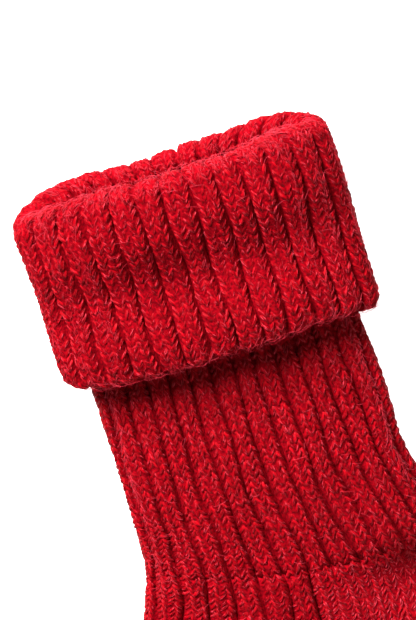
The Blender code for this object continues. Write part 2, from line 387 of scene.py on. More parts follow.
    def level_row(
        self, ring: Ring, columns: np.ndarray, y: float, lift: float, back_lift: float | None = None
    ) -> np.ndarray:
        """A row straight across the leg, with its side edges lifted along Y.

        Args:
            ring: the row's ring.
            columns: places round the tube, in ribs.
            y: the Y of the row's middle.
            lift: how far the edges are lifted.
            back_lift: how far the back edge is, where that differs.

        Returns:
            The row's points.
        """
        across, up = self.ring_line(ring, columns)
        back_lift = lift if back_lift is None else back_lift
        lifts = np.where(across > 0, back_lift, lift)
        bowed = y + lifts * np.abs(across / ring.half_width) ** self.edge_bow
        return np.column_stack([across, bowed, up])

    def fan_row(
        self,
        ring: Ring,
        columns: np.ndarray,
        edges: tuple[np.ndarray, np.ndarray],
        full: float,
        sag: float,
        dimple: float,
    ) -> np.ndarray:
        """A row between a point on the instep's edge and one on the heel's or sole's edge.

        Args:
            ring: the ring to lay between the two points.
            columns: places round the tube, in ribs.
            edges: the two points.
            full: half the width that the ring is laid out for.
            sag: how far the row's middle runs ahead.
            dimple: how deep the hollow in its upper side is.

        Returns:
            The row's points.
        """
        front, back = edges
        middle, half = (front + back) / 2, (back - front) / 2
        side = half / np.linalg.norm(half)
        ahead = np.array([side[1], -side[0]])
        across, up = self.ring_line(ring, columns)
        share = across / ring.half_width
        plan = middle + np.outer(across * np.linalg.norm(half) / full, side)
        plan = plan + np.outer(sag * (1 - share**2), ahead)
        hollow = dimple * np.exp(-(((share - self.dimple_at) / self.dimple_wide) ** 2))
        hollow = hollow * smooth((up - ring.edge) / self.dimple_clear)
        return np.column_stack([plan, up - hollow])

    def heel_reach(self, angle: float) -> float:
        """How far the back edge is from the bend's centre.

        Args:
            angle: how far round the bend.

        Returns:
            The distance.
        """
        across = self.bend_radius + self.leg_width
        down = self.bend_start + across * self.swell_slant * math.tan(angle)
        share = (down - self.swell_from) / (self.swell_to - self.swell_from)
        back = (across + self.heel_swell * smooth(share)) / math.cos(angle)
        sole = (self.bend_radius + self.foot_width) / math.cos(self.bend - angle)
        power = -self.heel_corner
        return (back**power + sole**power) ** (1 / power)

    def ankle_edges(self, angle: float) -> tuple[np.ndarray, np.ndarray]:
        """Finds the instep's edge and the heel's edge.

        Args:
            angle: how far round the bend.

        Returns:
            The two edges' points, seen from above.
        """
        centre = np.array([-self.leg_width / 2 - self.bend_radius, -self.bend_start])
        out = np.array([math.cos(angle), -math.sin(angle)])
        return centre + out * self.bend_radius, centre + out * self.heel_reach(angle)

    def ankle_row(self, angle: float, columns: np.ndarray, wall: float) -> np.ndarray:
        """A row round the ankle.

        Args:
            angle: how far round the bend.
            columns: places round the tube, in ribs.
            wall: 0 on the outer face, and the cloth's thickness on the inner one.

        Returns:
            The row's points.
        """
        turned = angle / self.bend
        ring = self.leg_ring(1.0)
        over = mix(ring.over, self.foot_thick - self.reach, float(smooth(turned)))
        ring = Ring(ring.half_width, ring.under, ring.edge, over)
        sag = self.row_sag * math.cos(math.pi * turned)
        sag *= float(smooth(angle / (self.sag_in * self.heel_from)))
        sag *= float(smooth((self.bend - angle) / (self.bend - self.heel_to)))
        spread = self.dimple_above if angle < self.dimple_row else self.dimple_below
        dimple = self.heel_dimple * math.exp(-(((angle - self.dimple_row) / spread) ** 2))
        ring = ring.inset(wall) if wall else ring
        full = self.leg_width / 2
        return self.fan_row(ring, columns, self.ankle_edges(angle), full, sag, dimple)

    def foot_row(self, distance: float, columns: np.ndarray, wall: float) -> np.ndarray:
        """A row along the foot or round the toe cap.

        Args:
            distance: how far past the bend.
            columns: places round the tube, in ribs.
            wall: 0 on the outer face, and the cloth's thickness on the inner one.

        Returns:
            The row's points.
        """
        along = min(max((distance - self.foot_straight) / self.toe_length, 0.0), 1.0)
        past = max(distance - self.foot_straight - self.toe_length, 0.0)
        past = min(past / self.toe_close, 1.0)
        share = (1 - (self.toe_reach * along) ** self.toe_round) ** (1 / self.toe_round)
        thin = float(smooth(along))
        edge = mix(self.leg_edge, self.toe_edge, thin)
        over = mix(self.foot_thick - self.reach, self.toe_thick, thin)
        closing = math.sqrt(max(1 - past * past, 0.0))
        ring = Ring(
            self.foot_width / 2 * share - self.reach,
            edge + (self.ground - edge) * closing,
            edge,
            edge + (over - edge) * closing,
        )
        if wall:
            inner = ring.inset(wall)
            floor = min(inner.under, edge - self.thinnest)
            ring = Ring(inner.half_width, floor, edge, max(inner.over, edge + self.thinnest))
        front, back = self.ankle_edges(self.bend)
        ahead = np.array([-math.sin(self.bend), -math.cos(self.bend)])
        middle, half = (front + back) / 2 + ahead * distance, (back - front) / 2
        edges = middle - half * share, middle + half * share
        return self.fan_row(ring, columns, edges, self.foot_width / 2 * share, 0.0, 0.0)

    def cuff_net(self, columns: np.ndarray) -> Net:
        """The face that shows on the cuff: out of the hem, up, over the rim and into the mouth.

        Args:
            columns: places round the tube, in ribs.

        Returns:
            The net.
        """
        rows = []
        curl, top = self.hem_curl, self.roll_y

        def lifts(height: float) -> tuple[float, float]:
            """Lifts the side edges of a row.

            Args:
                height: how far over the hem.

            Returns:
                How far the front edge is lifted, and the back one.
            """
            risen = float(smooth(height / top))
            dropped = self.hem_fall * (1 - float(smooth(height / self.crest_at)))
            front = mix(self.hem_rise, -self.corner_drop, risen)
            return front, front - dropped + self.corner_rise * risen

        for turn in np.radians(np.linspace(self.hem_wrap, 0, CURL_ROWS)):
            tuck = curl * (1 - math.cos(turn))
            height = curl * (1 - math.sin(turn))
            full = self.sunk(self.cuff_ring, height)
            half = full.half_width - tuck - self.corner_cut(height)
            ring = Ring(half, full.under + tuck, full.edge, full.over - tuck)
            rows.append(self.level_row(ring, columns, height - self.hem_low, *lifts(height)))
        for height in np.linspace(curl, top, FACE_ROWS + 1)[1:]:
            low = self.hem_low * (1 - float(smooth(height / self.hem_low_to)))
            ring = self.sunk(self.cuff_ring, height)
            half = ring.half_width - self.corner_cut(height)
            ring = Ring(half, ring.under, ring.edge, ring.over)
            rows.append(self.level_row(ring, columns, height - low, *lifts(height)))
        lining = self.leg_ring(0.0).inset(self.cloth)
        start = rows[-1]
        back = self.corner_rise - self.corner_drop
        end = self.level_row(self.sunk(lining, top), columns, top, -self.corner_drop, back)
        bulge = np.linalg.norm(end - start, axis=1) / 2
        for turn in np.linspace(0, math.pi, ROLL_ROWS + 1)[1:]:
            points = start + (end - start) * (1 - math.cos(turn)) / 2
            points[:, 1] += bulge * math.sin(turn)
            rows.append(points)
        for y in np.linspace(top, top - self.lining_depth, LINING_ROWS + 1)[1:]:
            near = float(smooth(y / top))
            drops = -self.corner_drop * near, back * near
            rows.append(self.level_row(self.sunk(lining, y), columns, y, *drops))
        return Net(np.array(rows), columns, 1.0)

    def roll_reach(self, net: Net) -> tuple[float, float]:
        """Where the roll starts and ends along the cuff's net, in mm."""
        start = CURL_ROWS + FACE_ROWS - 1
        return net.along[start], net.along[start + ROLL_ROWS]

    def tube_rows(self) -> list[tuple[str, float]]:
        """Where the rows of the leg, ankle and foot are.

        Returns:
            Each row's stretch and its place in it.
        """
        straight, end = self.foot_straight, self.foot_straight + self.toe_length
        crowded = 1 - (1 - np.linspace(0.0, 1.0, TOE_ROWS + 1)[1:]) ** self.toe_crowd
        rows = [("leg", y) for y in np.linspace(self.roll_y, 0.0, RAISED_ROWS)]
        rows += [("leg", y) for y in np.linspace(0.0, -self.bend_start, LEG_ROWS + 1)[1:]]
        rows += [("ankle", a) for a in np.linspace(0.0, self.bend, ANKLE_ROWS + 1)[1:]]
        rows += [("foot", d) for d in np.linspace(0.0, straight, FOOT_ROWS + 1)[1:]]
        rows += [("foot", mix(straight, end, share)) for share in crowded]
        rows += [("foot", end + self.toe_close * share) for share in TOE_END_SHARES]
        return rows

    def tube_row(self, stretch: str, at: float, columns: np.ndarray, wall: float) -> np.ndarray:
        """One row of the leg, ankle or foot.

        Args:
            stretch: the stretch it is in.
            at: its place in that stretch.
            columns: places round the tube, in ribs.
            wall: 0 on the outer face, and the cloth's thickness on the inner one.

        Returns:
            The row's points.
        """
        if stretch == "leg":
            settled = float(smooth((self.settle_from - at) / (self.settle_from - self.settle_to)))
            ring = self.leg_ring(settled)
            ring = self.sunk(ring, at) if at > self.hem_crest else ring
            held = settled * (1 - float(smooth(-at / self.bend_start)))
            half = ring.half_width - self.hem_squeeze * held
            ring = Ring(half, ring.under, ring.edge, ring.over - self.hem_press * held)
            ring = ring.inset(wall) if wall else ring
            drop = -self.corner_drop * float(smooth(at / self.roll_y))
            return self.level_row(ring, columns, at, drop)
        if stretch == "ankle":
            return self.ankle_row(at, columns, wall)
        return self.foot_row(at, columns, wall)

    def tube_net(self, columns: np.ndarray, wall: float) -> Net:
        """The outer face of the leg, ankle, foot and toe, or the inner one a wall inside it."""
        rows = [self.tube_row(name, at, columns, wall) for name, at in self.tube_rows()]
        return Net(np.array(rows), columns, -1.0 if wall == 0 else 1.0)

    def row_of(self, stretch: str, at: float) -> int:
        """Finds the row at a place.

        Args:
            stretch: the stretch it is in.
            at: its place in that stretch.

        Returns:
            The row's number, counted from the roll.
        """
        for number, (name, value) in enumerate(self.tube_rows()):
            if name == stretch and value >= at - TINY:
                return number
        raise ValueError(f"no row of {stretch} at {at}")


# ------------------------------------------------------------------------------------ finishes


def add_node(
    tree: bpy.types.NodeTree, kind: str, links: dict | None = None, **settings: object
) -> bpy.types.Node:
    """Adds a node with its settings and its inputs.

    Args:
        tree: the material's nodes.
        kind: the node's type, without the words ShaderNode.
        links: for each input, the output to link to it or the value to set.
        settings: properties of the node.

    Returns:
        The node.
    """
    node = tree.nodes.new(f"ShaderNode{kind}")
    for name, value in settings.items():
        setattr(node, name, value)
    for key, value in (links or {}).items():
        if isinstance(value, bpy.types.NodeSocket):
            tree.links.new(value, node.inputs[key])
        else:
            node.inputs[key].default_value = value
    return node


def set_stops(ramp: bpy.types.Node, stops: list[tuple[float, str]]) -> None:
    """Gives a colour ramp its stops.

    Args:
        ramp: the ramp.
        stops: each stop's place and hex code.
    """
    elements = ramp.color_ramp.elements
    while len(elements) < len(stops):
        elements.new(0.5)
    for element, (place, code) in zip(elements, stops):
        element.position = place
        element.color = linear(code)


def new_material(name: str) -> tuple[bpy.types.Material, bpy.types.NodeTree, bpy.types.Node]:
    """Makes a material with nothing but an output.

    Args:
        name: the material's name.

    Returns:
        The material, its nodes and its output node.
    """
    material = bpy.data.materials.new(name)
    material.use_nodes = True
    tree = material.node_tree
    tree.nodes.clear()
    return material, tree, add_node(tree, "OutputMaterial")


@dataclass(frozen=True)
class LambswoolYarn:
    """Lambswool yarn, woollen-spun, dyed red and knitted.

    Woollen spinning leaves its short fibres crossing each other, so the yarn is matt. The eye
    sees a deep even red, with paler flecks where bundles of fibres lie along the yarn, and a
    faint bloom at its edges. Those pale streaks and flecks are partly the fibres' own tone and
    partly a painted highlight along the yarn.
    """

    deep: str = "86000A"
    main: str = "9A000D"
    # bright and the fleck: partly the fibres' own paler tone, partly a painted highlight along the
    # yarn
    bright: str = "B80718"
    fleck_and_highlight: str = "E84456"
    bloom: str = "FF3040"
    roughness: float = 0.45
    ior: float = 1.54  # keratin
    specular: float = 0.07  # low, so that the yarn stays matt
    sheen: float = 0.05
    sheen_roughness: float = 0.5
    bundle: float = 0.45  # of the yarn's radius, about 0.3 mm; single fibres wouldn't show
    bundle_length: float = 2.8  # mm along the yarn
    bundle_edges: Span = (0.36, 0.66)  # of the noise, where a bundle fades in
    apart: float = 91.7  # how far apart two strands' noises are for a shade 1 higher
    shade_share: float = 1.2  # how much the strand's own shade counts against its bundles
    tone_scale: float = 0.35  # brings the sum of both to the ramp's length
    relief: float = 0.16  # mm

    def make(self, name: str) -> bpy.types.Material:
        """Builds the material.

        Args:
            name: the material's name.

        Returns:
            The material, which reads the yarn's own lengthwise coordinate and shade.
        """
        material, tree, output = new_material(name)
        strand = add_node(tree, "Attribute", attribute_name="strand").outputs["Vector"]
        shade = add_node(tree, "Attribute", attribute_name="shade").outputs["Fac"]
        stretch = (1 / self.bundle, 1 / self.bundle, 1 / self.bundle_length)
        along = add_node(tree, "VectorMath", {0: strand, 1: stretch}, operation="MULTIPLY")
        apart = add_node(tree, "Math", {0: shade, 1: self.apart}, operation="MULTIPLY")
        fibres = add_node(
            tree,
            "TexNoise",
            {"Vector": along.outputs[0], "W": apart.outputs[0], "Scale": 1.0, "Detail": 1.5},
            noise_dimensions="4D",
        )
        faint, full = self.bundle_edges
        lines = add_node(
            tree, "MapRange", {"Value": fibres.outputs[0], "From Min": faint, "From Max": full}
        )
        both = add_node(
            tree,
            "Math",
            {0: shade, 1: self.shade_share, 2: lines.outputs[0]},
            operation="MULTIPLY_ADD",
        )
        tone = add_node(
            tree, "Math", {0: both.outputs[0], 1: self.tone_scale}, operation="MULTIPLY"
        )
        # the upper stops paint highlights along the yarn, partly the fibres' own paler tone
        colour = add_node(tree, "ValToRGB", {"Fac": tone.outputs[0]})
        set_stops(
            colour, [(0.1, self.deep), (0.45, self.main), (0.7, self.bright), (1.0, self.fleck_and_highlight)]
        )
        bump = add_node(
            tree,
            "Bump",
            {"Height": lines.outputs[0], "Strength": 1.0, "Distance": self.relief * MM},
        )
        shader = add_node(
            tree,
            "BsdfPrincipled",
            {
                "Base Color": colour.outputs[0],
                "Normal": bump.outputs[0],
                "Roughness": self.roughness,
                "IOR": self.ior,
                "Specular IOR Level": self.specular,
                "Sheen Weight": self.sheen,
                "Sheen Roughness": self.sheen_roughness,
                "Sheen Tint": linear(self.bloom),
            },
        )
        tree.links.new(shader.outputs[0], output.inputs["Surface"])
        return material


@dataclass(frozen=True)
class FeltedGround:
    """The depth of the knitting, where loops cross behind the ones that show.

    It is the same lambswool, matted by wear, but its red is darker than the yarn's: a painted
    shade for the depth between the stitches. In the furrows it is darker still, a painted shade
    where hardly any light comes back.
    """

    # deep is the painted shade in the furrows; dark and light are darker than the yarn, a painted
    # shade between the stitches
    deep: str = "2C0003"
    dark: str = "660009"
    light: str = "980311"
    roughness: float = 0.95
    ior: float = 1.54  # keratin
    specular: float = 0.03
    tuft: float = 0.9  # mm
    relief: float = 0.4  # mm
    bump: float = 0.8
    # painted shade: how far down the ramp the deepest furrow goes
    furrow_painted_shade: float = -0.38  # how far down the ramp the deepest furrow goes

    def make(self, name: str) -> bpy.types.Material:
        """Builds the material.

        Args:
            name: the material's name.

        Returns:
            The material.
        """
        material, tree, output = new_material(name)
        where = add_node(tree, "TexCoord")
        tufts = add_node(
            tree,
            "TexNoise",
            {"Vector": where.outputs["Object"], "Scale": 1 / (self.tuft * MM), "Detail": 3.0},
        )
        # hollow carries the painted shade of the furrows
        hollow = add_node(tree, "Attribute", attribute_name="hollow")
        tone = add_node(
            tree,
            "Math",
            {0: hollow.outputs["Fac"], 1: self.furrow_painted_shade, 2: tufts.outputs[0]},
            operation="MULTIPLY_ADD",
        )
        colour = add_node(tree, "ValToRGB", {"Fac": tone.outputs[0]})
        set_stops(colour, [(0.15, self.deep), (0.38, self.dark), (0.65, self.light)])
        bump = add_node(
            tree,
            "Bump",
            {"Height": tufts.outputs[0], "Strength": self.bump, "Distance": self.relief * MM},
        )
        shader = add_node(
            tree,
            "BsdfPrincipled",
            {
                "Base Color": colour.outputs[0],
                "Normal": bump.outputs[0],
                "Roughness": self.roughness,
                "IOR": self.ior,
                "Specular IOR Level": self.specular,
            },
        )
        tree.links.new(shader.outputs[0], output.inputs["Surface"])
        return material


@dataclass(frozen=True)
class LooseWool:
    """Single lambswool fibres that stand off the yarn.

    They are dyed with it, but light comes through them, so they look paler than the yarn.
    """

    root: str = "B80E22"
    tip: str = "DC4052"
    roughness: float = 0.6
    ior: float = 1.54  # keratin
    specular: float = 0.1

    def make(self, name: str) -> bpy.types.Material:
        """Builds the material.

        Args:
            name: the material's name.

        Returns:
            The material.
        """
        material, tree, output = new_material(name)
        shade = add_node(tree, "Attribute", attribute_name="shade")
        colour = add_node(tree, "ValToRGB", {"Fac": shade.outputs["Fac"]})
        set_stops(colour, [(0.1, self.root), (1.0, self.tip)])
        shader = add_node(
            tree,
            "BsdfPrincipled",
            {
                "Base Color": colour.outputs[0],
                "Roughness": self.roughness,
                "IOR": self.ior,
                "Specular IOR Level": self.specular,
            },
        )
        tree.links.new(shader.outputs[0], output.inputs["Surface"])
        return material


# ---------------------------------------------------------------------------------------- yarn


def smooth_line(points: np.ndarray, count: int) -> np.ndarray:
    """Points on a smooth curve through given points.

    Args:
        points: the given points, n x k.
        count: how many points to make.

    Returns:
        The curve's points, count x k, from the first to the last given one.
    """
    padded = np.vstack([2 * points[0] - points[1], points, 2 * points[-1] - points[-2]])
    at = np.linspace(0, len(points) - 1, count)
    i = np.minimum(at.astype(int), len(points) - 2)
    t = (at - i)[:, None]
    before, start, end, after = (padded[i + k] for k in range(4))
    straight = 2 * start + (end - before) * t
    bend = (2 * before - 5 * start + 4 * end - after) * t**2
    twist = (3 * start - before - 3 * end + after) * t**3
    return 0.5 * (straight + bend + twist)


@dataclass(frozen=True)
class YarnPath:
    """The line that a short length of yarn follows in one stitch.

    Attributes:
        across: sideways, in widths of the stitch.
        along: in courses.
        out: above the cloth's net, in mm.
        thick: the share of the yarn's full radius.
    """

    across: tuple[float, ...]
    along: tuple[float, ...]
    out: tuple[float, ...]
    thick: tuple[float, ...]

    def rings(self, count: int) -> np.ndarray:
        """The path at a number of rings: across, along, out and thick."""
        given = np.column_stack([self.across, self.along, self.out, self.thick])
        return smooth_line(given, count)


# One leg of a knitted loop comes out from behind, leans out to the side, and goes back under.
LOOP_LEG = YarnPath(
    across=(0.21, 0.08, 0.06, 0.15, 0.27, 0.39, 0.42, 0.32),
    along=(-0.36, -0.10, 0.14, 0.43, 0.71, 0.98, 1.22, 1.44),
    out=(-0.90, -0.32, 0.02, 0.14, 0.16, 0.04, -0.26, -0.90),
    thick=(0.50, 0.85, 0.98, 1.0, 1.0, 0.95, 0.85, 0.50),
)


def between(values: np.ndarray, at: np.ndarray) -> np.ndarray:
    """Values between the rings of every strand.

    Args:
        values: what each ring has, strands x rings x k.
        at: which rings to look between, strands x places.

    Returns:
        The values, strands x places x k.
    """
    i = np.minimum(at.astype(int), values.shape[1] - 2)
    share = (at - i)[..., None]
    before = np.take_along_axis(values, i[..., None], axis=1)
    after = np.take_along_axis(values, i[..., None] + 1, axis=1)
    return before + (after - before) * share


class Fineness(Enum):
    """How finely a length of yarn is modelled: its rings, its sides and the bundles on it."""

    FINE = (5, 4, 4)
    MEDIUM = (5, 4, 3)
    PLAIN = (4, 3, 2)
    COARSE = (4, 3, 1)
    SPARE = (4, 3, 0)


# Bundles of fibres on the yarn, each three rings long. The spans are what their draws lie in.
BUNDLE_RADIUS = 0.15  # mm
BUNDLE_SIZES = (0.6, 1.2)  # of that radius
BUNDLE_ENDS = 0.45  # how thick the ends are
BUNDLE_STARTS = (0.10, 0.60)  # along the yarn, as a share of its length
BUNDLE_LENGTHS = (0.22, 0.36)
BUNDLE_SIDES = (-0.9, 0.9)  # off the yarn's top line, as a share of its radius
BUNDLE_CROSSINGS = (-0.4, 0.7)  # how far one crosses over the yarn on its way

LOWEST = 0.05  # mm; no yarn lies under the surface that the sock rests on
STRAND_STEP = 50  # mm; sets the pattern of one strand apart from the next one's
CELL_MARGIN, CELL_SIZE = 0.06, 0.88  # of a strand's square in the bake map


@dataclass
class Strands:
    """Many short lengths of yarn, bundles or fibres that have the same number of rings.

    Attributes:
        lines: each one's middle line, strands x rings x 3, in mm.
        ups: the direction out of the cloth at each ring.
        radii: the radius at each ring, in mm.
        shades: how pale each strand is, from 0 to 1, and 1 more on a bundle of fibres.
        sides: how many sides a ring has; the second one faces out of the cloth if there are four.
    """

    lines: np.ndarray
    ups: np.ndarray
    radii: np.ndarray
    shades: np.ndarray
    sides: int

    @property
    def lengths(self) -> np.ndarray:
        """The distance along each strand at each ring, in mm."""
        steps = np.linalg.norm(np.diff(self.lines, axis=1), axis=2)
        return np.concatenate([np.zeros((len(steps), 1)), np.cumsum(steps, axis=1)], axis=1)

    @property
    def angles(self) -> np.ndarray:
        """How far round the ring each side is; a quarter turn is out of the cloth."""
        return np.arange(self.sides) * 2 * math.pi / self.sides + math.pi / 2

    def axes(self) -> tuple[np.ndarray, np.ndarray]:
        """The directions sideways and out at each ring.

        Returns:
            Both, as unit vectors.
        """
        tangents = np.gradient(self.lines, axis=1)
        across = np.cross(tangents, self.ups)
        across /= np.maximum(np.linalg.norm(across, axis=2, keepdims=True), TINY)
        up = np.cross(across, tangents)
        up /= np.maximum(np.linalg.norm(up, axis=2, keepdims=True), TINY)
        return across, up

    def bundles(self, number: int, pale: float, random: np.random.Generator) -> list["Strands"]:
        """Thin bundles of fibres that lie on the outer side of every strand.

        Args:
            number: how many each strand has.
            pale: how much paler they are than elsewhere; on the rim it is a painted sheen.
            random: the source of where each one lies and how thick it is.

        Returns:
            All the first bundles, all the second ones and so on.
        """
        count, rings, _ = self.lines.shape
        across, up = self.axes()
        made = []
        for _ in range(number):
            start = random.uniform(*BUNDLE_STARTS, (count, 1))
            reach = random.uniform(*BUNDLE_LENGTHS, (count, 1))
            at = (start + reach * np.array([0.0, 0.5, 1.0])) * (rings - 1)
            side = random.uniform(*BUNDLE_SIDES, (count, 1))
            crossing = random.uniform(*BUNDLE_CROSSINGS, (count, 1)) * [-0.5, 0.0, 0.5]
            side = np.clip(side + crossing, -1, 1)
            shift = side[..., None] * between(across, at) + (
                np.sqrt(1 - side**2)[..., None] * between(up, at)
            )
            size = between(self.radii[..., None], at)
            taper = np.array([BUNDLE_ENDS, 1.0, BUNDLE_ENDS])
            taper = taper * random.uniform(*BUNDLE_SIZES, (count, 1))
            # the bundles' pale colour is partly the fibres' own and partly a painted highlight
            made.append(
                Strands(
                    lines=between(self.lines, at) + size * shift,
                    ups=between(self.ups, at),
                    radii=BUNDLE_RADIUS * taper,
                    shades=1 + pale + random.random(count) ** 2,
                    sides=3,
                )
            )
        return made

    def points(self) -> np.ndarray:
        """The surface's points.

        Returns:
            The points, strands x rings x sides x 3.
        """
        across, up = self.axes()
        size = self.radii[..., None, None]
        cosine, sine = np.cos(self.angles)[:, None], np.sin(self.angles)[:, None]
        ring = cosine * across[:, :, None, :] + sine * up[:, :, None, :]
        return self.lines[:, :, None, :] + size * ring

    def own_places(self) -> np.ndarray:
        """Where each point is in its own strand.

        Returns:
            The cosine and sine of its angle and its distance along the yarn, as three last values.
        """
        count, rings, _ = self.lines.shape
        made = np.empty((count, rings, self.sides, 3))
        made[..., 0] = np.cos(self.angles)
        made[..., 1] = np.sin(self.angles)
        made[..., 2] = self.lengths[..., None] + self.shades[:, None, None] * STRAND_STEP
        return made


def grid_corners(cells: np.ndarray, grid: int, local: np.ndarray) -> np.ndarray:
    """Places in the bake map, where each strand has a square of its own.

    Args:
        cells: each strand's number.
        grid: how many squares a side of the map has.
        local: places in a square, from 0 to 1, with two values last.

    Returns:
        The places in the map, for every strand and every place in its square.
    """
    corner = np.stack([cells % grid, cells // grid], axis=-1)
    corner = corner.reshape(len(cells), *[1] * (local.ndim - 1), 2)
    return (corner + CELL_MARGIN + CELL_SIZE * local) / grid


def strand_mesh(name: str, batches: list[Strands]) -> bpy.types.Mesh:
    """Makes one mesh of many strands, each a closed tube.

    Args:
        name: the mesh's name.
        batches: the strands.

    Returns:
        The mesh, in metres, with the attributes strand and shade and its own bake map.
    """
    grid = math.ceil(math.sqrt(sum(len(batch.lines) for batch in batches)))
    points, places, shades, corners, sizes, maps = [], [], [], [], [], []
    first, cell = 0, 0
    for batch in batches:
        count, rings, _ = batch.lines.shape
        sides = batch.sides
        index = first + np.arange(count * rings * sides).reshape(count, rings, sides)
        after = np.roll(index, -1, axis=2)
        quads = np.stack([index[:, :-1], after[:, :-1], after[:, 1:], index[:, 1:]], axis=-1)
        ring, side = np.meshgrid(np.arange(rings - 1), np.arange(sides), indexing="ij")
        steps = ((0, 0), (0, 1), (1, 1), (1, 0))
        local = np.stack([np.stack([ring + r, side + s], axis=-1) for r, s in steps], axis=-2)
        cells = cell + np.arange(count)
        corners.append(quads.ravel())
        sizes.append(np.full(quads.size // 4, 4))
        maps.append(grid_corners(cells, grid, local / np.array([rings - 1, sides])).reshape(-1, 2))
        for cap in (index[:, 0, ::-1], index[:, -1]):
            corners.append(cap.ravel())
            sizes.append(np.full(count, sides))
            maps.append(grid_corners(cells, grid, np.zeros((sides, 2))).reshape(-1, 2))
        points.append(batch.points().reshape(-1, 3))
        places.append(batch.own_places().reshape(-1, 3))
        shades.append(np.repeat(batch.shades, rings * sides))
        first += count * rings * sides
        cell += count

    co = np.concatenate(points)
    co[:, 2] = np.maximum(co[:, 2], LOWEST)
    corner_list, size_list = np.concatenate(corners), np.concatenate(sizes)
    mesh = bpy.data.meshes.new(name)
    mesh.vertices.add(len(co))
    mesh.vertices.foreach_set("co", world(co).astype(np.float32).ravel())
    mesh.loops.add(len(corner_list))
    mesh.loops.foreach_set("vertex_index", corner_list.astype(np.int32))
    mesh.polygons.add(len(size_list))
    starts = np.concatenate([[0], np.cumsum(size_list)[:-1]])
    mesh.polygons.foreach_set("loop_start", starts.astype(np.int32))
    mesh.update(calc_edges=True)
    mesh.shade_smooth()
    strand = mesh.attributes.new("strand", "FLOAT_VECTOR", "POINT")
    strand.data.foreach_set("vector", np.concatenate(places).astype(np.float32).ravel())
    shade = mesh.attributes.new("shade", "FLOAT", "POINT")
    shade.data.foreach_set("value", np.concatenate(shades).astype(np.float32))
    layer = mesh.uv_layers.new(name="OFBake")
    layer.uv.foreach_set("vector", np.concatenate(maps).astype(np.float32).ravel())
    return mesh


# ------------------------------------------------------------------------------------ knitting


@dataclass(frozen=True)
class Wave:
    """A slow wave over the cloth, which closes on itself round the tube.

    Attributes:
        size: how high it is.
        along: its length along the net, in mm for each radian.
        turns: how often it comes round the tube.
        start: where it starts, in radians.
    """

    size: float
    along: float
    turns: int
    start: float = 0.0

    def at(self, u: np.ndarray, v: np.ndarray) -> np.ndarray:
        """Its height at places on the net."""
        turn = 2 * math.pi * u / RIBS
        return self.size * np.sin(v / self.along + self.turns * turn + self.start)


SWELLS = (Wave(1.0, 8.7, 7), Wave(0.7, 15.1, -4, 2.0))
WANDERS = (Wave(0.040, 9.3, 8), Wave(0.030, 5.2, -13, 1.0))  # in ribs


@dataclass(frozen=True)
class Relief:
    """The ribs' heights over a net.

    Attributes:
        phase: 0 where ridges lie on whole columns, 0.5 where they lie between them.
        depth: from the top of a ridge to the furrow, in mm.
        power: the higher, the flatter the ridges' tops.
        calm_from: where the ribs start to get shallower, stretched over a roll.
        calm_over: how far it takes them, in mm.
        calm: how much shallower they are past it, as a share.
        swell: how far the cloth rises and falls by itself, in mm.
        plain_from: where the back half turns plain, in mm along the net.
        all_plain_from: where the whole round turns plain.
        turn_over: how far it takes the ribs to turn plain, in mm.
        border: how wide each side of the furrow between ribbed and plain is, in ribs.
        border_depth: how deep that furrow is, as a share of the others.
    """

    phase: float
    depth: float = 2.7
    power: float = 3.0
    calm_from: float = NEVER
    calm_over: float = 10.0
    calm: float = 0.3
    swell: float = 0.28
    plain_from: float = NEVER
    all_plain_from: float = NEVER
    turn_over: float = 3.0
    border: float = 0.3
    border_depth: float = 0.5

    def height(self, u: np.ndarray, v: np.ndarray) -> np.ndarray:
        """The height of the yarn's middle over the net.

        Args:
            u: places round the tube, in ribs.
            v: distances along the net, in mm.

        Returns:
            The heights, in mm.
        """
        share = np.abs((u - self.phase + 0.5) % 1.0 - 0.5) * 2
        stretch = self.calm * smooth((v - self.calm_from) / self.calm_over)
        ribbed = self.depth * (1 - stretch) * (np.sqrt(1 - share**self.power) - 1)
        inside = TOP_MIDDLE - np.abs(u % RIBS - RIBS / 2)
        back = smooth((v - self.plain_from) / self.turn_over) * (inside > 0)
        cap = smooth((v - self.all_plain_from) / self.turn_over)
        last_furrow = np.clip(1 - np.abs(inside) / self.border, 0, 1) ** 2 * (1 - cap)
        plain = -self.border_depth * self.depth * last_furrow
        uneven = sum(wave.at(u, v) for wave in SWELLS)
        share = np.maximum(back, cap)
        return ribbed * (1 - share) + plain * share + self.swell * uneven

    def slope(self, u: np.ndarray, v: np.ndarray) -> np.ndarray:
        """How fast the height changes, in mm per rib."""
        step = 0.02
        return (self.height(u + step, v) - self.height(u - step, v)) / (2 * step)


@dataclass(frozen=True)
class Unevenness:
    """How far hand-like knitting strays: each spread is a share, or in the unit given."""

    width: float = 0.06
    reach: float = 0.05
    lean: float = 0.07
    column: float = 0.012  # ribs
    course: float = 0.15
    lift: float = 0.09  # mm
    thickness: float = 0.07
    lumps: float = 0.05
    slip: float = 0.16  # of a course, for a whole wale
    most: float = 2.2  # spreads


@dataclass(frozen=True)
class Fuzz:
    """A patch of loose fibres.

    Attributes:
        count: how many there are.
        columns: its first and last column.
        rows: where it starts and ends along the net, in mm.
        lift: how far a typical fibre stands off the yarn, in mm.
        stray: how much their headings differ from the wales'.
    """

    count: int
    columns: Span
    rows: Span
    lift: float
    stray: float = 1.0


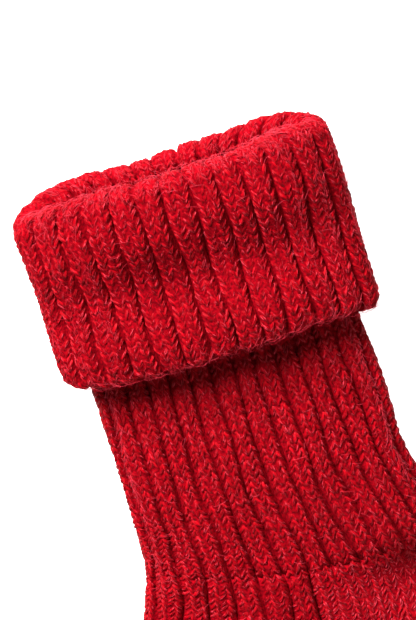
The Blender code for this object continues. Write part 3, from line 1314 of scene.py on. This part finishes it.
# Loose fibres. The spans are what their draws lie in.
FIBRE_RADIUS = 0.04  # mm, about three times a real one's, which wouldn't show
FIBRE_TAPER = (1, 1, 1, 0.8, 0.4)  # at each ring
FIBRE_LENGTHS = (1.8, 5.0)  # mm
FIBRE_HEADING = 0.5  # radians that one heads to either side of the wales
FIBRE_TURN = 0.5  # the spread of that
FIBRE_CURL = 0.8  # and the spread of how much it turns along its length
FIBRE_CLEAR = 0.42  # mm over the yarn
FIBRE_LEAST_STAND = 0.08  # mm more
FIBRE_DIP = 0.4  # mm; the most it follows the cloth down into a furrow
FREE_ENDS = 0.25  # the share of fibres with an end that stands up
FREE_END_POWER = 1.3  # the higher, the later a free end rises
FURROW_HEIGHT = -0.9  # mm; the fibres that would start lower than this
FURROW_SHIFT, FURROW_MIX = 0.35, 40  # are moved to either side, by up to this many ribs


@dataclass
class Knitter:
    """Lays yarn on a net.

    Attributes:
        net: the face of the cloth.
        relief: its ribs.
        radius: the yarn's radius, in mm.
        course: the height of a stitch, in mm along the net.
        random: the source of every uneven size.
        bundle_paling: how much paler the bundles of fibres on its yarn are.
        hand: how uneven its stitches are.
        steepest: the most that stitches lean into a furrow, as a slope.
    """

    net: Net
    relief: Relief
    radius: float
    course: float
    random: np.random.Generator
    bundle_paling: float = 0.0
    hand: Unevenness = Unevenness()
    steepest: float = 1.5

    def uneven(self, shape: tuple[int, ...], spread: float) -> np.ndarray:
        """Random values round 0, for hand-like unevenness."""
        most = self.hand.most * spread
        return np.clip(self.random.normal(0.0, spread, shape), -most, most)

    def wander(self, u: np.ndarray, v: np.ndarray) -> np.ndarray:
        """How far the ribs stray sideways, in ribs."""
        return sum(wave.at(u, v) for wave in WANDERS)

    def onto_net(self, u: np.ndarray, v: np.ndarray, height: np.ndarray) -> np.ndarray:
        """Points at a height over the net, strayed sideways as the ribs do."""
        return self.net.place(u + self.wander(u, v), v, height)

    def out_of_cloth(self, u: np.ndarray, v: np.ndarray) -> np.ndarray:
        """The direction out of the ribbed cloth.

        Args:
            u: places round the tube, in ribs.
            v: distances along the net, in mm.

        Returns:
            The directions.
        """
        normals = self.net.look_up(self.net.normals, u, v)
        step = self.net.look_up(self.net.across_step, u, v)
        pitch = np.maximum(np.linalg.norm(step, axis=-1, keepdims=True), TINY)
        tilt = self.relief.slope(u, v)[..., None] / pitch
        return normals - step / pitch * np.clip(tilt, -self.steepest, self.steepest)

    def lay(
        self, path: YarnPath, u: np.ndarray, v: np.ndarray, width: float, fineness: Fineness
    ) -> list[Strands]:
        """Bends lengths of yarn onto the net at many places.

        Args:
            path: the line that each one follows.
            u: each one's column.
            v: each one's place along the net, in mm.
            width: how many ribs one unit across is; negative mirrors the path.
            fineness: how finely to model them.

        Returns:
            The yarn, followed by the bundles of fibres on it.
        """
        count, hand = len(u), self.hand
        each = (count, 1)
        rings, sides, bundles = fineness.value
        across, along, out, thick = path.rings(rings).T
        width = width * (1 + self.uneven(each, hand.width))
        reach = self.course * (1 + self.uneven(each, hand.reach))
        lean = self.uneven(each, hand.lean) * np.abs(width) * along
        at_u = u[:, None] + self.uneven(each, hand.column) + across * width + lean
        at_v = v[:, None] + self.uneven(each, hand.course) * self.course + along * reach
        height = self.relief.height(at_u, at_v) + out + self.uneven(each, hand.lift)
        lumps = 1 + self.uneven(each, hand.thickness) + self.uneven((count, rings), hand.lumps)
        yarn = Strands(
            lines=self.onto_net(at_u, at_v, height),
            ups=self.out_of_cloth(at_u, at_v),
            radii=self.radius * thick * lumps,
            shades=self.random.random(count),
            sides=sides,
        )
        return [yarn, *yarn.bundles(bundles, self.bundle_paling, self.random)]

    def knit(
        self, columns: np.ndarray, rows: np.ndarray, width: float, fineness: Fineness
    ) -> list[Strands]:
        """Both legs of the knitted stitches at every pair of a column and a row.

        Args:
            columns: each wale's column.
            rows: each course's place along the net.
            width: the wale's width in ribs.
            fineness: how finely to model them.

        Returns:
            The left and the right legs.
        """
        slip = self.uneven((len(columns),), self.hand.slip) * self.course
        u, v = (grid.ravel() for grid in np.meshgrid(columns, rows))
        v = v + np.tile(slip, len(rows))
        left = self.lay(LOOP_LEG, u, v, width, fineness)
        return left + self.lay(LOOP_LEG, u, v, -width, fineness)

    def fibres(self, fuzz: Fuzz) -> list[Strands]:
        """Loose fibres over a patch of the net.

        Args:
            fuzz: the patch.

        Returns:
            The fibres.
        """
        rings = len(FIBRE_TAPER)
        each = (fuzz.count, 1)
        t = np.linspace(0, 1, rings)
        u = self.random.uniform(*fuzz.columns, each)
        v = self.random.uniform(*fuzz.rows, each)
        sunk = self.relief.height(u, v) < FURROW_HEIGHT
        u = u - FURROW_SHIFT * sunk * np.sin(u * FURROW_MIX)
        length = self.random.uniform(*FIBRE_LENGTHS, each)
        heading = np.sign(self.uneven(each, 1.0)) * FIBRE_HEADING + self.uneven(each, FIBRE_TURN)
        curl = self.uneven(each, FIBRE_CURL)
        angle = fuzz.stray * (heading + curl * t)
        pitch = np.linalg.norm(self.net.look_up(self.net.across_step, u, v), axis=-1)
        steps = length / (rings - 1)
        at_u = u + np.cumsum(np.sin(angle) * steps, axis=1) / np.maximum(pitch, 1.0)
        at_v = v + np.cumsum(np.cos(angle) * steps, axis=1)
        stand = np.abs(self.uneven(each, fuzz.lift)) + FIBRE_LEAST_STAND
        free = self.random.random(each) < FREE_ENDS
        arch = np.where(free, t**FREE_END_POWER, np.sin(math.pi * t))
        start = self.relief.height(u, v)
        base = np.maximum(self.relief.height(at_u, at_v), start - FIBRE_DIP)
        height = base + FIBRE_CLEAR + self.radius + stand * arch
        return [
            Strands(
                lines=self.onto_net(at_u, at_v, height),
                ups=self.net.look_up(self.net.normals, at_u, at_v),
                radii=FIBRE_RADIUS * np.array(FIBRE_TAPER) * np.ones(each),
                shades=self.random.random(fuzz.count),
                sides=3,
            )
        ]


def courses(start: float, end: float, pitch: float) -> np.ndarray:
    """Where the courses of a stretch are, evenly spread between its ends."""
    count = max(int(round((end - start) / pitch)), 1)
    return start + (np.arange(count) + 0.5) * (end - start) / count


def wales(ridges: np.ndarray, half_width: float) -> np.ndarray:
    """The two wales on each ridge."""
    return np.sort(np.concatenate([ridges - half_width, ridges + half_width]))


# ------------------------------------------------------------------------------------- pieces


@dataclass
class Dresser:
    """Turns meshes into the scene's pieces.

    Attributes:
        yarn: what the stitches are made of.
        ground: what the cloth behind them is made of.
        fibre: what the loose fibres are made of.
        total: how many triangles it has made.
    """

    yarn: bpy.types.Material
    ground: bpy.types.Material
    fibre: bpy.types.Material
    total: int = 0

    def add(
        self,
        mesh: bpy.types.Mesh,
        slot: str,
        finish: bpy.types.Material,
        nodes: tuple[str, ...] = (),
    ) -> bpy.types.Object:
        """Links a mesh as a piece that rides on the sock.

        Args:
            mesh: the piece's mesh, in the world.
            slot: the record's material slot; not used.
            finish: its material.
            nodes: the CAD nodes it stands for.

        Returns:
            The piece.
        """
        mesh.materials.append(finish)
        piece = bpy.data.objects.new(mesh.name, mesh)
        bpy.context.scene.collection.objects.link(piece)
        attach(piece, BODY)
        if nodes:
            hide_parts(*nodes)
        count = len(mesh.loops) - 2 * len(mesh.polygons)
        self.total += count
        log.info("%s: %d triangles on %s", piece.name, count, BODY)
        return piece


def wall_mesh(
    name: str, outer: np.ndarray, inner: np.ndarray, hollow: np.ndarray, closed: bool
) -> bpy.types.Mesh:
    """A closed wall between two faces.

    Args:
        name: the mesh's name.
        outer: the outer face's points, rows x columns x 3, in mm.
        inner: the inner face's points.
        hollow: the painted furrow shade at each of the outer points, more the deeper it lies.
        closed: True if the columns go all round the tube.

    Returns:
        The mesh.
    """
    rows, columns, _ = outer.shape
    index = np.arange(rows * columns).reshape(rows, columns)
    if closed:
        index = np.hstack([index, index[:, :1]])
    shift = rows * columns

    def sheet(grid: np.ndarray) -> np.ndarray:
        """The faces between neighbouring rows and columns."""
        return np.stack([grid[:-1, :-1], grid[:-1, 1:], grid[1:, 1:], grid[1:, :-1]], axis=-1)

    def strip(line: np.ndarray) -> np.ndarray:
        """The faces from an edge of the outer face to the inner one."""
        return np.stack([line[:-1], line[1:], line[1:] + shift, line[:-1] + shift], axis=-1)

    faces = [sheet(index).reshape(-1, 4), sheet(index + shift)[..., ::-1].reshape(-1, 4)]
    faces += [strip(index[0])[:, ::-1], strip(index[-1])]
    if not closed:
        faces += [strip(index[:, 0]), strip(index[:, -1])[:, ::-1]]
    points = np.concatenate([outer.reshape(-1, 3), inner.reshape(-1, 3)])
    points[:, 2] = np.maximum(points[:, 2], 0.0)
    mesh = bpy.data.meshes.new(name)
    mesh.from_pydata(world(points).tolist(), [], np.concatenate(faces).tolist())
    mesh.update()
    mesh.shade_smooth()
    # the outer face carries the painted furrow shade, the inner one none
    values = np.concatenate([hollow.ravel(), 0 * hollow.ravel()])
    mesh.attributes.new("hollow", "FLOAT", "POINT").data.foreach_set("value", values)
    return mesh


NET_STEPS = 12  # of a net, in each rib
NET_COLUMNS = np.arange(-2 * NET_STEPS, (RIBS + 2) * NET_STEPS + 1) / NET_STEPS  # past a round
RIB_PLACES = np.array([0.0, 0.07, 0.18, 0.38, 0.62, 0.82, 0.93])  # cloth columns past a furrow


def cloth_columns(first: float, last: float) -> np.ndarray:
    """The cloth's columns from one furrow to just before another, in ribs."""
    return (np.arange(first, last)[:, None] + RIB_PLACES).ravel()


@dataclass
class TurnedCuff:
    """The turned cuff, its rolled rim and the lining that shows in the mouth.

    Attributes:
        form: the sock's shape.
        random: the source of every uneven size.
        net: the cuff's face, from the hem over the rim and down into the mouth.
        relief: its ribs.
        knitter: lays its stitches.
        roller: lays the rim's.
        roll_start: where the roll starts along the net, in mm.
        roll_end: where it ends.
    """

    form: SockForm
    random: np.random.Generator
    course: float = 2.6  # mm
    roll_course: float = 1.6  # on the roll's middle line, which is shorter than its outer side
    yarn_radius: float = 0.62  # mm
    roll_yarn: float = 0.75  # of that radius, where the yarn is stretched over the roll
    # painted sheen: the bundles of fibres on the rim are paler, as fuzz looks where the rolled
    # cloth turns away at a grazing angle
    rim_painted_sheen: float = 0.25
    wale: float = 0.43  # in ribs
    wale_place: float = 0.212  # from the top of a ridge to the middle of each of its two wales
    rib_power: float = 3.4
    calm_before: float = 7.0  # mm under the roll, where its ribs start to get shallower
    first_course: float = 0.6  # mm from the end of the curled hem
    last_course: float = 1.0  # mm from the end of the lining
    loose: int = 200
    haze_ridges: tuple[int, ...] = (0, 1, 2, 10, 11, 12)  # near the sides, where the cuff is worn
    haze_columns: Span = (-0.05, 0.2)  # from the top of a ridge
    rim_haze: Span = (-1.0, 6.0)  # mm from where the roll starts
    rim_clear: float = 0.2  # ribs at each side that it leaves clear
    hem_haze: Span = (-1.0, 3.0)  # mm along the net
    hem_curl: float = 3.6  # mm; over the curled hem the cloth thins and its ribs die away
    hem_side: float = 6.0  # mm along the net that the cloth's rows are close together for
    cloth_rows: tuple[int, int, int] = (6, 14, 8)  # round the hem, up the side and over the roll
    row_gap: float = 2.0  # mm between those three
    ground_rise: float = 0.42  # mm from the middle of the yarn up to the felted ground between it
    ground_relief: float = 1.05  # of the stitches' relief
    wall_relief: float = 0.75
    wall_depths: Span = (0.4, 1.4)  # mm under the net, at the hem's end and past its curl
    # painted shade: how dark the felted ground is painted in the furrows
    furrow_painted_shade: float = 0.1  # how dark the felted ground gets in the furrows
    net: Net = field(init=False)
    relief: Relief = field(init=False)
    knitter: Knitter = field(init=False)
    roller: Knitter = field(init=False)
    roll_start: float = field(init=False)
    roll_end: float = field(init=False)

    def __post_init__(self) -> None:
        """Works out the cuff's face."""
        self.net = self.form.cuff_net(NET_COLUMNS)
        self.roll_start, self.roll_end = self.form.roll_reach(self.net)
        calm_from = self.roll_start - self.calm_before
        self.relief = Relief(0.5, power=self.rib_power, calm_from=calm_from)
        net, relief, random = self.net, self.relief, self.random
        self.knitter = Knitter(net, relief, self.yarn_radius, self.course, random)
        # the rim's yarn carries a painted sheen in its paler bundles
        radius = self.roll_yarn * self.yarn_radius
        self.roller = Knitter(net, relief, radius, self.roll_course, random, bundle_paling=self.rim_painted_sheen)

    def stitches(self) -> dict[str, list[Strands]]:
        """The stitches, by the names of their pieces.

        Returns:
            Each piece's strands.
        """
        start, over, end = self.roll_start, self.roll_end, self.net.along[-1]
        front = courses(self.first_course, start, self.course)
        rolled = courses(start, over, self.roll_course)
        inside = courses(over, end - self.last_course, self.course)
        half = self.wale_place
        ridges = np.arange(RIBS) + 0.5
        top, below = wales(ridges[CUFF_TOP], half), wales(ridges[CUFF_BELOW], half)
        edges = wales(ridges[CUFF_EDGES], half)
        knitter, roller, width = self.knitter, self.roller, self.wale
        fine, medium = Fineness.FINE, Fineness.MEDIUM
        return {
            "cuff_rib_stitches": knitter.knit(top, front, width, fine),
            "cuff_edge_stitches": knitter.knit(edges, front, width, Fineness.PLAIN),
            "rim_stitches": [
                *roller.knit(top, rolled, width, fine),
                *roller.knit(below, rolled, width, medium),
            ],
            "mouth_stitches": [
                *knitter.knit(below, inside, width, medium),
                *knitter.knit(below, front[-2:], width, medium),
                *knitter.knit(top, inside, width, Fineness.COARSE),
            ],
        }

    def fuzz(self) -> list[Fuzz]:
        """Loose fibres: all over, on the rim, behind it, at the worn sides and on the hem.

        Returns:
            The patches.
        """
        start, over = self.roll_start, self.roll_end
        half, near, far = RIBS / 2, *self.haze_columns
        rim_columns = (self.rim_clear, half - self.rim_clear)
        rim_rows = (start + self.rim_haze[0], start + self.rim_haze[1])
        patches = [
            Fuzz(self.loose, (0.0, half), (0.0, over), lift=0.28),
            Fuzz(2 * self.loose, rim_columns, rim_rows, lift=0.3),
            Fuzz(self.loose, (half, RIBS), (start, over), lift=0.35),
        ]
        for number in self.haze_ridges:
            ridge = number + 0.5
            columns = (ridge + near, ridge + far)
            patches.append(Fuzz(self.loose // 3, columns, (0.0, start), lift=0.3, stray=0.35))
        patches.append(Fuzz(self.loose, (0.0, half), self.hem_haze, lift=0.4))
        return patches

    def build(self, dresser: Dresser) -> list[bpy.types.Object]:
        """Makes the cuff's cloth, stitches and loose fibres.

        Args:
            dresser: makes the pieces.

        Returns:
            The pieces.
        """
        pieces = [
            dresser.add(strand_mesh(name, batches), "rib_knit", dresser.yarn)
            for name, batches in self.stitches().items()
        ]
        fibres = [batch for patch in self.fuzz() for batch in self.knitter.fibres(patch)]
        mesh = strand_mesh("cuff_loose_fibres", fibres)
        pieces.append(dresser.add(mesh, "rib_knit", dresser.fibre))
        cloth = self.cloth(dresser)
        return [cloth, *pieces]

    def cloth(self, dresser: Dresser) -> bpy.types.Object:
        """The wall behind the cuff's stitches, from the hem to the end of the roll.

        Args:
            dresser: makes the piece.

        Returns:
            The piece.
        """
        start, over = self.roll_start, self.roll_end
        round_hem, up_side, over_roll = self.cloth_rows
        gap = self.row_gap
        rows = np.concatenate(
            [
                np.linspace(0, self.hem_side, round_hem),
                np.linspace(self.hem_side + gap, start, up_side),
                np.linspace(start + gap, over + gap, over_roll),
            ]
        )
        u, v = np.meshgrid(cloth_columns(0, RIBS), rows)
        curled = smooth(v / self.hem_curl)
        height = self.relief.height(u, v) * curled
        outer = self.knitter.onto_net(u, v, self.ground_relief * height + self.ground_rise)
        inner = self.net.place(u, v, height * self.wall_relief - mix(*self.wall_depths, curled))
        # painted shade: the felted ground is darker the deeper it lies in a furrow
        hollow = self.furrow_painted_shade * np.clip(-height / self.relief.depth, 0, 1)
        mesh = wall_mesh("cuff_cloth", outer, inner, hollow, True)
        return dresser.add(mesh, "rib_knit", dresser.ground, ("cuff",))


@dataclass(frozen=True)
class Panel:
    """A stretch of the tube's cloth.

    Attributes:
        name: the stretch's name.
        node: the solid that it stands for.
        slot: its material slot.
        rows: where it starts and ends along the net, in mm.
        columns: its first and last column.
        flat: its size laid out flat, in metres; not used.
        loose: how many loose fibres it has.
    """

    name: str
    node: str
    slot: str
    rows: Span
    columns: Span
    flat: Span
    loose: int

    @property
    def whole(self) -> bool:
        """True if the stretch goes all round the tube."""
        return self.columns[1] - self.columns[0] == RIBS


@dataclass
class SockTube:
    """The leg, instep, heel, foot and toe.

    Attributes:
        form: the sock's shape.
        random: the source of every uneven size.
        outside: the tube's outer face, from the roll to the toe.
        lining: its inner face, which looks into the sock.
        relief: its ribs.
        ribbing: lays the ribbed stitches.
        plain: lays the plain ones.
        v_shown: where the first stitches are, inside the cuff, in mm along the outer face.
        v_heel: where the heel and the instep start.
        v_heel_end: where the foot starts.
        v_toe: where the toe starts.
        v_end: where the tube ends.
    """

    form: SockForm
    random: np.random.Generator
    rib_course: float = 2.65  # mm
    plain_course: float = 2.05
    heel_course: float = 1.48  # along the middle line, which is shorter than the heel's back
    yarn_radius: float = 0.58  # mm
    plain_radius: float = 0.52
    # how much paler the bundles of fibres on plain knitting are
    plain_bundle_paling: float = 0.25
    wale: float = 0.43  # in ribs
    wale_place: float = 0.213  # from the top of a ridge to the middle of each of its two wales
    plain_wales: int = 14  # in a quarter of the round
    edge_wales: int = 5  # of them, on each side of the underside
    rib_depth: float = 2.2  # mm
    rib_power: float = 3.3
    toe_past: float = 0.3  # mm from the toe's first row to the start of its plain knitting
    toe_left: float = 1.0  # mm from its last course to its end
    stitched_from: float = 8.0  # mm down from the roll's middle, inside the cuff
    fuzzed_from: float = 6.0  # mm more
    fine_past_heel: float = 28.0  # mm from where the heel starts; stitches further on are plainer
    worn_edges: tuple[Span, ...] = ((0.69, 0.88), (12.10, 12.30))  # where it was folded flat
    cloth_row: float = 4.2  # mm
    fewest_rows: int = 4
    ground_rise: float = 0.25  # mm from the middle of the yarn up to the felted ground between it
    ground_reliefs: Span = (0.4, 1.1)  # of the stitches' relief, in the mouth and past it
    mouth_thinner: float = 0.9  # mm that the wall is thinner than the form's, in the mouth
    wall_thicker: float = 0.1  # mm that it is thicker past the mouth
    wall_relief: float = 0.8  # how far its inner face follows the furrows into the sock
    mouth_end: float = 8.0  # mm over which the wall changes past the mouth
    # painted shade: how dark the felted ground is painted in the furrows
    furrow_painted_shade: float = 0.1  # how dark the felted ground gets in the furrows
    outside: Net = field(init=False)
    lining: Net = field(init=False)
    relief: Relief = field(init=False)
    ribbing: Knitter = field(init=False)
    plain: Knitter = field(init=False)
    v_shown: float = field(init=False)
    v_heel: float = field(init=False)
    v_heel_end: float = field(init=False)
    v_toe: float = field(init=False)
    v_end: float = field(init=False)

    def __post_init__(self) -> None:
        """Works out the tube's two faces, and where its stretches start along it."""
        form = self.form
        self.outside = form.tube_net(NET_COLUMNS, 0.0)
        self.lining = form.tube_net(NET_COLUMNS, form.cloth)
        along = self.outside.along
        self.v_heel = along[form.row_of("ankle", form.heel_from)]
        self.v_heel_end = along[form.row_of("ankle", form.heel_to)]
        self.v_toe = along[form.row_of("foot", form.foot_straight)] + self.toe_past
        self.v_end = along[-1]
        self.v_shown = form.roll_y - self.stitched_from
        self.relief = Relief(
            0.0,
            depth=self.rib_depth,
            power=self.rib_power,
            plain_from=self.v_heel,
            all_plain_from=self.v_toe,
        )
        net, relief, random = self.outside, self.relief, self.random
        self.ribbing = Knitter(net, relief, self.yarn_radius, self.rib_course, random)
        radius, course, bundle_paling = self.plain_radius, self.plain_course, self.plain_bundle_paling
        self.plain = Knitter(net, relief, radius, course, random, bundle_paling=bundle_paling)

    @property
    def plain_wale(self) -> float:
        """The width of a wale of plain knitting, in ribs."""
        return TOP_MIDDLE / self.plain_wales

    def panels(self) -> list[Panel]:
        """The stretches of cloth.

        Returns:
            The panels, from the rim to the toe.
        """
        start, heel, heel_end, toe, end = 0.0, self.v_heel, self.v_heel_end, self.v_toe, self.v_end
        side, back, around = TOP_MIDDLE, RIBS - TOP_MIDDLE, (0.5, RIBS + 0.5)
        return [
            Panel("leg", "leg", "rib_knit", (start, heel), around, (0.189, 0.148), 260),
            Panel("instep", "leg", "rib_knit", (heel, heel_end), (-side, side), (0.09, 0.09), 80),
            Panel("heel", "heel", "plain_knit", (heel, heel_end), (side, back), (0.11, 0.11), 80),
            Panel("foot", "foot", "rib_knit", (heel_end, toe), around, (0.2, 0.08), 150),
            Panel("toe", "toe", "plain_knit", (toe, end), around, (0.2, 0.045), 80),
        ]

    def rib_stitches(
        self, ridges: np.ndarray, rows: np.ndarray, fineness: Fineness
    ) -> list[Strands]:
        """Both wales of ribs."""
        return self.ribbing.knit(wales(ridges, self.wale_place), rows, self.wale, fineness)

    def plain_stitches(
        self, columns: np.ndarray, rows: np.ndarray, fineness: Fineness
    ) -> list[Strands]:
        """Wales of plain knitting."""
        return self.plain.knit(columns, rows, self.plain_wale, fineness)

    def stitches(self) -> dict[str, dict[str, list[Strands]]]:
        """The stitches of each stretch, by the names of their pieces.

        Returns:
            For each stretch, its pieces' strands.
        """
        near = self.v_heel + self.fine_past_heel
        leg = courses(self.v_shown, self.v_heel, self.rib_course)
        instep = courses(self.v_heel, self.v_heel_end, self.rib_course)
        foot = courses(self.v_heel_end, self.v_toe, self.rib_course)
        heel = courses(self.v_heel, self.v_heel_end, self.heel_course)
        sole = courses(self.v_heel_end, self.v_toe, self.plain_course)
        toe = courses(self.v_toe, self.v_end - self.toe_left, self.plain_course)
        ridge = np.arange(RIBS)
        quarter = (np.arange(self.plain_wales) + 0.5) * self.plain_wale
        front_top, back_top, edge = quarter, TOP_MIDDLE + quarter, quarter[: self.edge_wales]
        back_edge, front_edge = RIBS / 2 + edge, RIBS - edge
        fine, plain = Fineness.FINE, Fineness.PLAIN
        coarse, spare = Fineness.COARSE, Fineness.SPARE
        return {
            "leg": {
                "leg_rib_stitches": self.rib_stitches(ridge[LEG_TOP], leg, fine),
                "leg_edge_stitches": self.rib_stitches(ridge[LEG_EDGES], leg, plain),
            },
            "instep": {
                "instep_rib_stitches": [
                    *self.rib_stitches(ridge[INSTEP_TOP], instep[instep < near], fine),
                    *self.rib_stitches(ridge[INSTEP_TOP], instep[instep >= near], plain),
                    *self.rib_stitches(ridge[INSTEP_EDGE], instep, coarse),
                ],
            },
            "heel": {
                "heel_plain_stitches": [
                    *self.plain_stitches(back_top, heel[heel < near], fine),
                    *self.plain_stitches(back_top, heel[heel >= near], plain),
                    *self.plain_stitches(back_edge, heel, spare),
                ],
            },
            "foot": {
                "foot_rib_stitches": [
                    *self.rib_stitches(ridge[INSTEP_TOP], foot, plain),
                    *self.rib_stitches(ridge[INSTEP_EDGE], foot, spare),
                ],
                "sole_plain_stitches": [
                    *self.plain_stitches(back_top, sole, coarse),
                    *self.plain_stitches(back_edge, sole, spare),
                ],
            },
            "toe": {
                "toe_plain_stitches": [
                    *self.plain_stitches(front_top, toe, coarse),
                    *self.plain_stitches(back_top, toe, coarse),
                    *self.plain_stitches(back_edge, toe, spare),
                    *self.plain_stitches(front_edge, toe, spare),
                ],
            },
        }

    def build(self, dresser: Dresser) -> list[bpy.types.Object]:
        """Makes the tube's cloth, stitches and loose fibres.

        Args:
            dresser: makes the pieces.

        Returns:
            The pieces.
        """
        made = self.stitches()
        pieces = []
        for panel in self.panels():
            dressed = [
                dresser.add(strand_mesh(name, batches), panel.slot, dresser.yarn)
                for name, batches in made[panel.name].items()
            ]
            mesh = strand_mesh(f"{panel.name}_loose_fibres", self.fibres(panel))
            dressed.append(dresser.add(mesh, panel.slot, dresser.fibre))
            cloth = self.cloth(panel, dresser)
            pieces += [cloth, *dressed]
        return pieces

    def fibres(self, panel: Panel) -> list[Strands]:
        """A panel's loose fibres, on its upper side and along its worn edges.

        Args:
            panel: the stretch of cloth.

        Returns:
            The fibres.
        """
        first = max(panel.columns[0], 0.0)
        last = min(panel.columns[1], RIBS / 2)
        rows = (max(panel.rows[0], self.v_shown + self.fuzzed_from), panel.rows[1])
        patches = [Fuzz(panel.loose, (first, last), rows, lift=0.25)]
        patches += [
            Fuzz(2 * panel.loose // 3, edge, rows, lift=0.3, stray=0.4)
            for edge in self.worn_edges
            if first <= edge[0] <= last
        ]
        return [batch for patch in patches for batch in self.ribbing.fibres(patch)]

    def cloth(self, panel: Panel, dresser: Dresser) -> bpy.types.Object:
        """The wall behind a panel's stitches.

        Args:
            panel: the stretch of cloth.
            dresser: makes the piece.

        Returns:
            The piece.
        """
        first, last = panel.columns
        columns = cloth_columns(first, last)
        if not panel.whole:
            columns = np.append(columns, last)
        start, end = panel.rows
        count = max(int((end - start) / self.cloth_row), self.fewest_rows)
        rows = np.linspace(start, end, count)
        u, v = np.meshgrid(columns, rows)
        height = self.relief.height(u, v)
        past_mouth = smooth((v - self.form.lining_depth) / self.mouth_end)
        rise = mix(*self.ground_reliefs, past_mouth) * height + self.ground_rise
        outer = self.ribbing.onto_net(u, v, rise)
        thicker = self.wall_thicker - self.wall_relief * height
        inward = mix(-self.mouth_thinner, thicker, past_mouth)
        inner = self.lining.place(u + self.ribbing.wander(u, v), v, inward)
        # painted shade: the felted ground is darker the deeper it lies in a furrow
        hollow = self.furrow_painted_shade * np.clip(-height / self.relief.depth, 0, 1)
        mesh = wall_mesh(f"{panel.name}_cloth", outer, inner, hollow, panel.whole)
        return dresser.add(mesh, panel.slot, dresser.ground, (panel.node,))


# ------------------------------------------------------------------------------------- studio


@dataclass(frozen=True)
class SoftBox:
    """A square studio light: where it stands, its side in metres and its power in watts."""

    name: str
    place: tuple[float, float, float]
    side: float
    power: float


@dataclass
class Studio:
    """A plain pale floor, soft light from the cuff's end, and the camera over the sock."""

    lens: float = 250.0
    sensor: float = 36.0
    field_height: float = 187.3  # mm at the target
    tilt: float = math.radians(28.0)  # how far the camera leans from straight down
    lean: float = math.radians(17.9)  # how far the leg leans from upright in the camera's view
    target: tuple[float, float, float] = (-1.5, 10.7, 14.0)  # in the sock's frame
    near: float = 0.01  # m from the camera
    far: float = 20.0
    lit: tuple[float, float, float] = (0.03, 0.06, 0.0)  # m, where the lights aim
    boxes: tuple[SoftBox, ...] = (
        SoftBox("key", (-0.80, 2.8, 1.35), 1.4, 388.0),
        SoftBox("fill", (0.20, -0.40, 0.34), 0.4, 1.8),
    )
    room: float = 0.09
    floor_reach: float = 3.0  # m to each side
    floor_gap: float = 0.0002  # m under the sock
    floor_colour: str = "F4F4F4"
    floor_roughness: float = 0.9
    floor_glow: float = 1.3

    def build(self) -> None:
        """Adds the floor, lights, world and camera."""
        self.floor()
        self.lights()
        self.camera()

    def floor(self) -> None:
        """Adds a white paper sweep under the sock."""
        reach = self.floor_reach
        mesh = bpy.data.meshes.new("floor")
        corners = [(-reach, -reach, 0), (reach, -reach, 0), (reach, reach, 0), (-reach, reach, 0)]
        mesh.from_pydata(corners, [], [(0, 1, 2, 3)])
        floor = bpy.data.objects.new("floor", mesh)
        floor.location = (0, 0, -self.floor_gap)
        bpy.context.scene.collection.objects.link(floor)
        # White paper, lit through from below, so that it stays pure white.
        material, tree, output = new_material("matt white paper")
        shader = add_node(
            tree,
            "BsdfPrincipled",
            {
                "Base Color": linear(self.floor_colour),
                "Roughness": self.floor_roughness,
                "Emission Color": linear("FFFFFF"),
                "Emission Strength": self.floor_glow,
            },
        )
        tree.links.new(shader.outputs[0], output.inputs["Surface"])
        mesh.materials.append(material)

    def lights(self) -> None:
        """Adds the soft boxes and the pale room."""
        for box in self.boxes:
            data = bpy.data.lights.new(box.name, "AREA")
            data.size = box.side
            data.energy = box.power
            lamp = bpy.data.objects.new(box.name, data)
            lamp.location = box.place
            aim = Vector(self.lit) - Vector(box.place)
            lamp.rotation_mode = "QUATERNION"
            lamp.rotation_quaternion = aim.to_track_quat("-Z", "Y")
            bpy.context.scene.collection.objects.link(lamp)
        room = bpy.data.worlds.new("pale room")
        room.use_nodes = True
        background = room.node_tree.nodes["Background"]
        background.inputs["Color"].default_value = linear("FFFFFF")
        background.inputs["Strength"].default_value = self.room
        bpy.context.scene.world = room
        bpy.context.scene.view_settings.view_transform = "Standard"

    def camera(self) -> None:
        """Adds the camera, over the leg and leaning towards the mouth."""
        data = bpy.data.cameras.new("camera")
        data.lens = self.lens
        data.sensor_width = self.sensor
        data.clip_start, data.clip_end = self.near, self.far
        camera = bpy.data.objects.new("camera", data)
        bpy.context.scene.collection.objects.link(camera)
        distance = self.field_height * self.lens / self.sensor
        back = Vector((0, math.sin(self.tilt), math.cos(self.tilt)))
        up = Vector((0, math.cos(self.tilt), -math.sin(self.tilt)))
        right = up.cross(back)
        turn = Matrix.Rotation(-self.lean, 3, back)
        axes = Matrix((turn @ right, turn @ up, back)).transposed().to_4x4()
        spot = Vector(world(np.array(self.target))) + back * distance * MM
        camera.matrix_world = Matrix.Translation(spot) @ axes
        bpy.context.scene.camera = camera


def main() -> None:
    """Builds the sock and its studio."""
    logging.basicConfig(level=logging.INFO, format="%(name)s %(message)s")
    random = np.random.default_rng(SEED)
    form = SockForm()
    dresser = Dresser(
        LambswoolYarn().make("lambswool yarn"),
        FeltedGround().make("felted lambswool"),
        LooseWool().make("loose lambswool fibres"),
    )
    pieces = TurnedCuff(form, random).build(dresser)
    pieces += SockTube(form, random).build(dresser)
    log.info("%d pieces, %d triangles", len(pieces), dresser.total)
    Studio().build()
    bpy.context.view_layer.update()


if __name__ == "__main__":
    main()
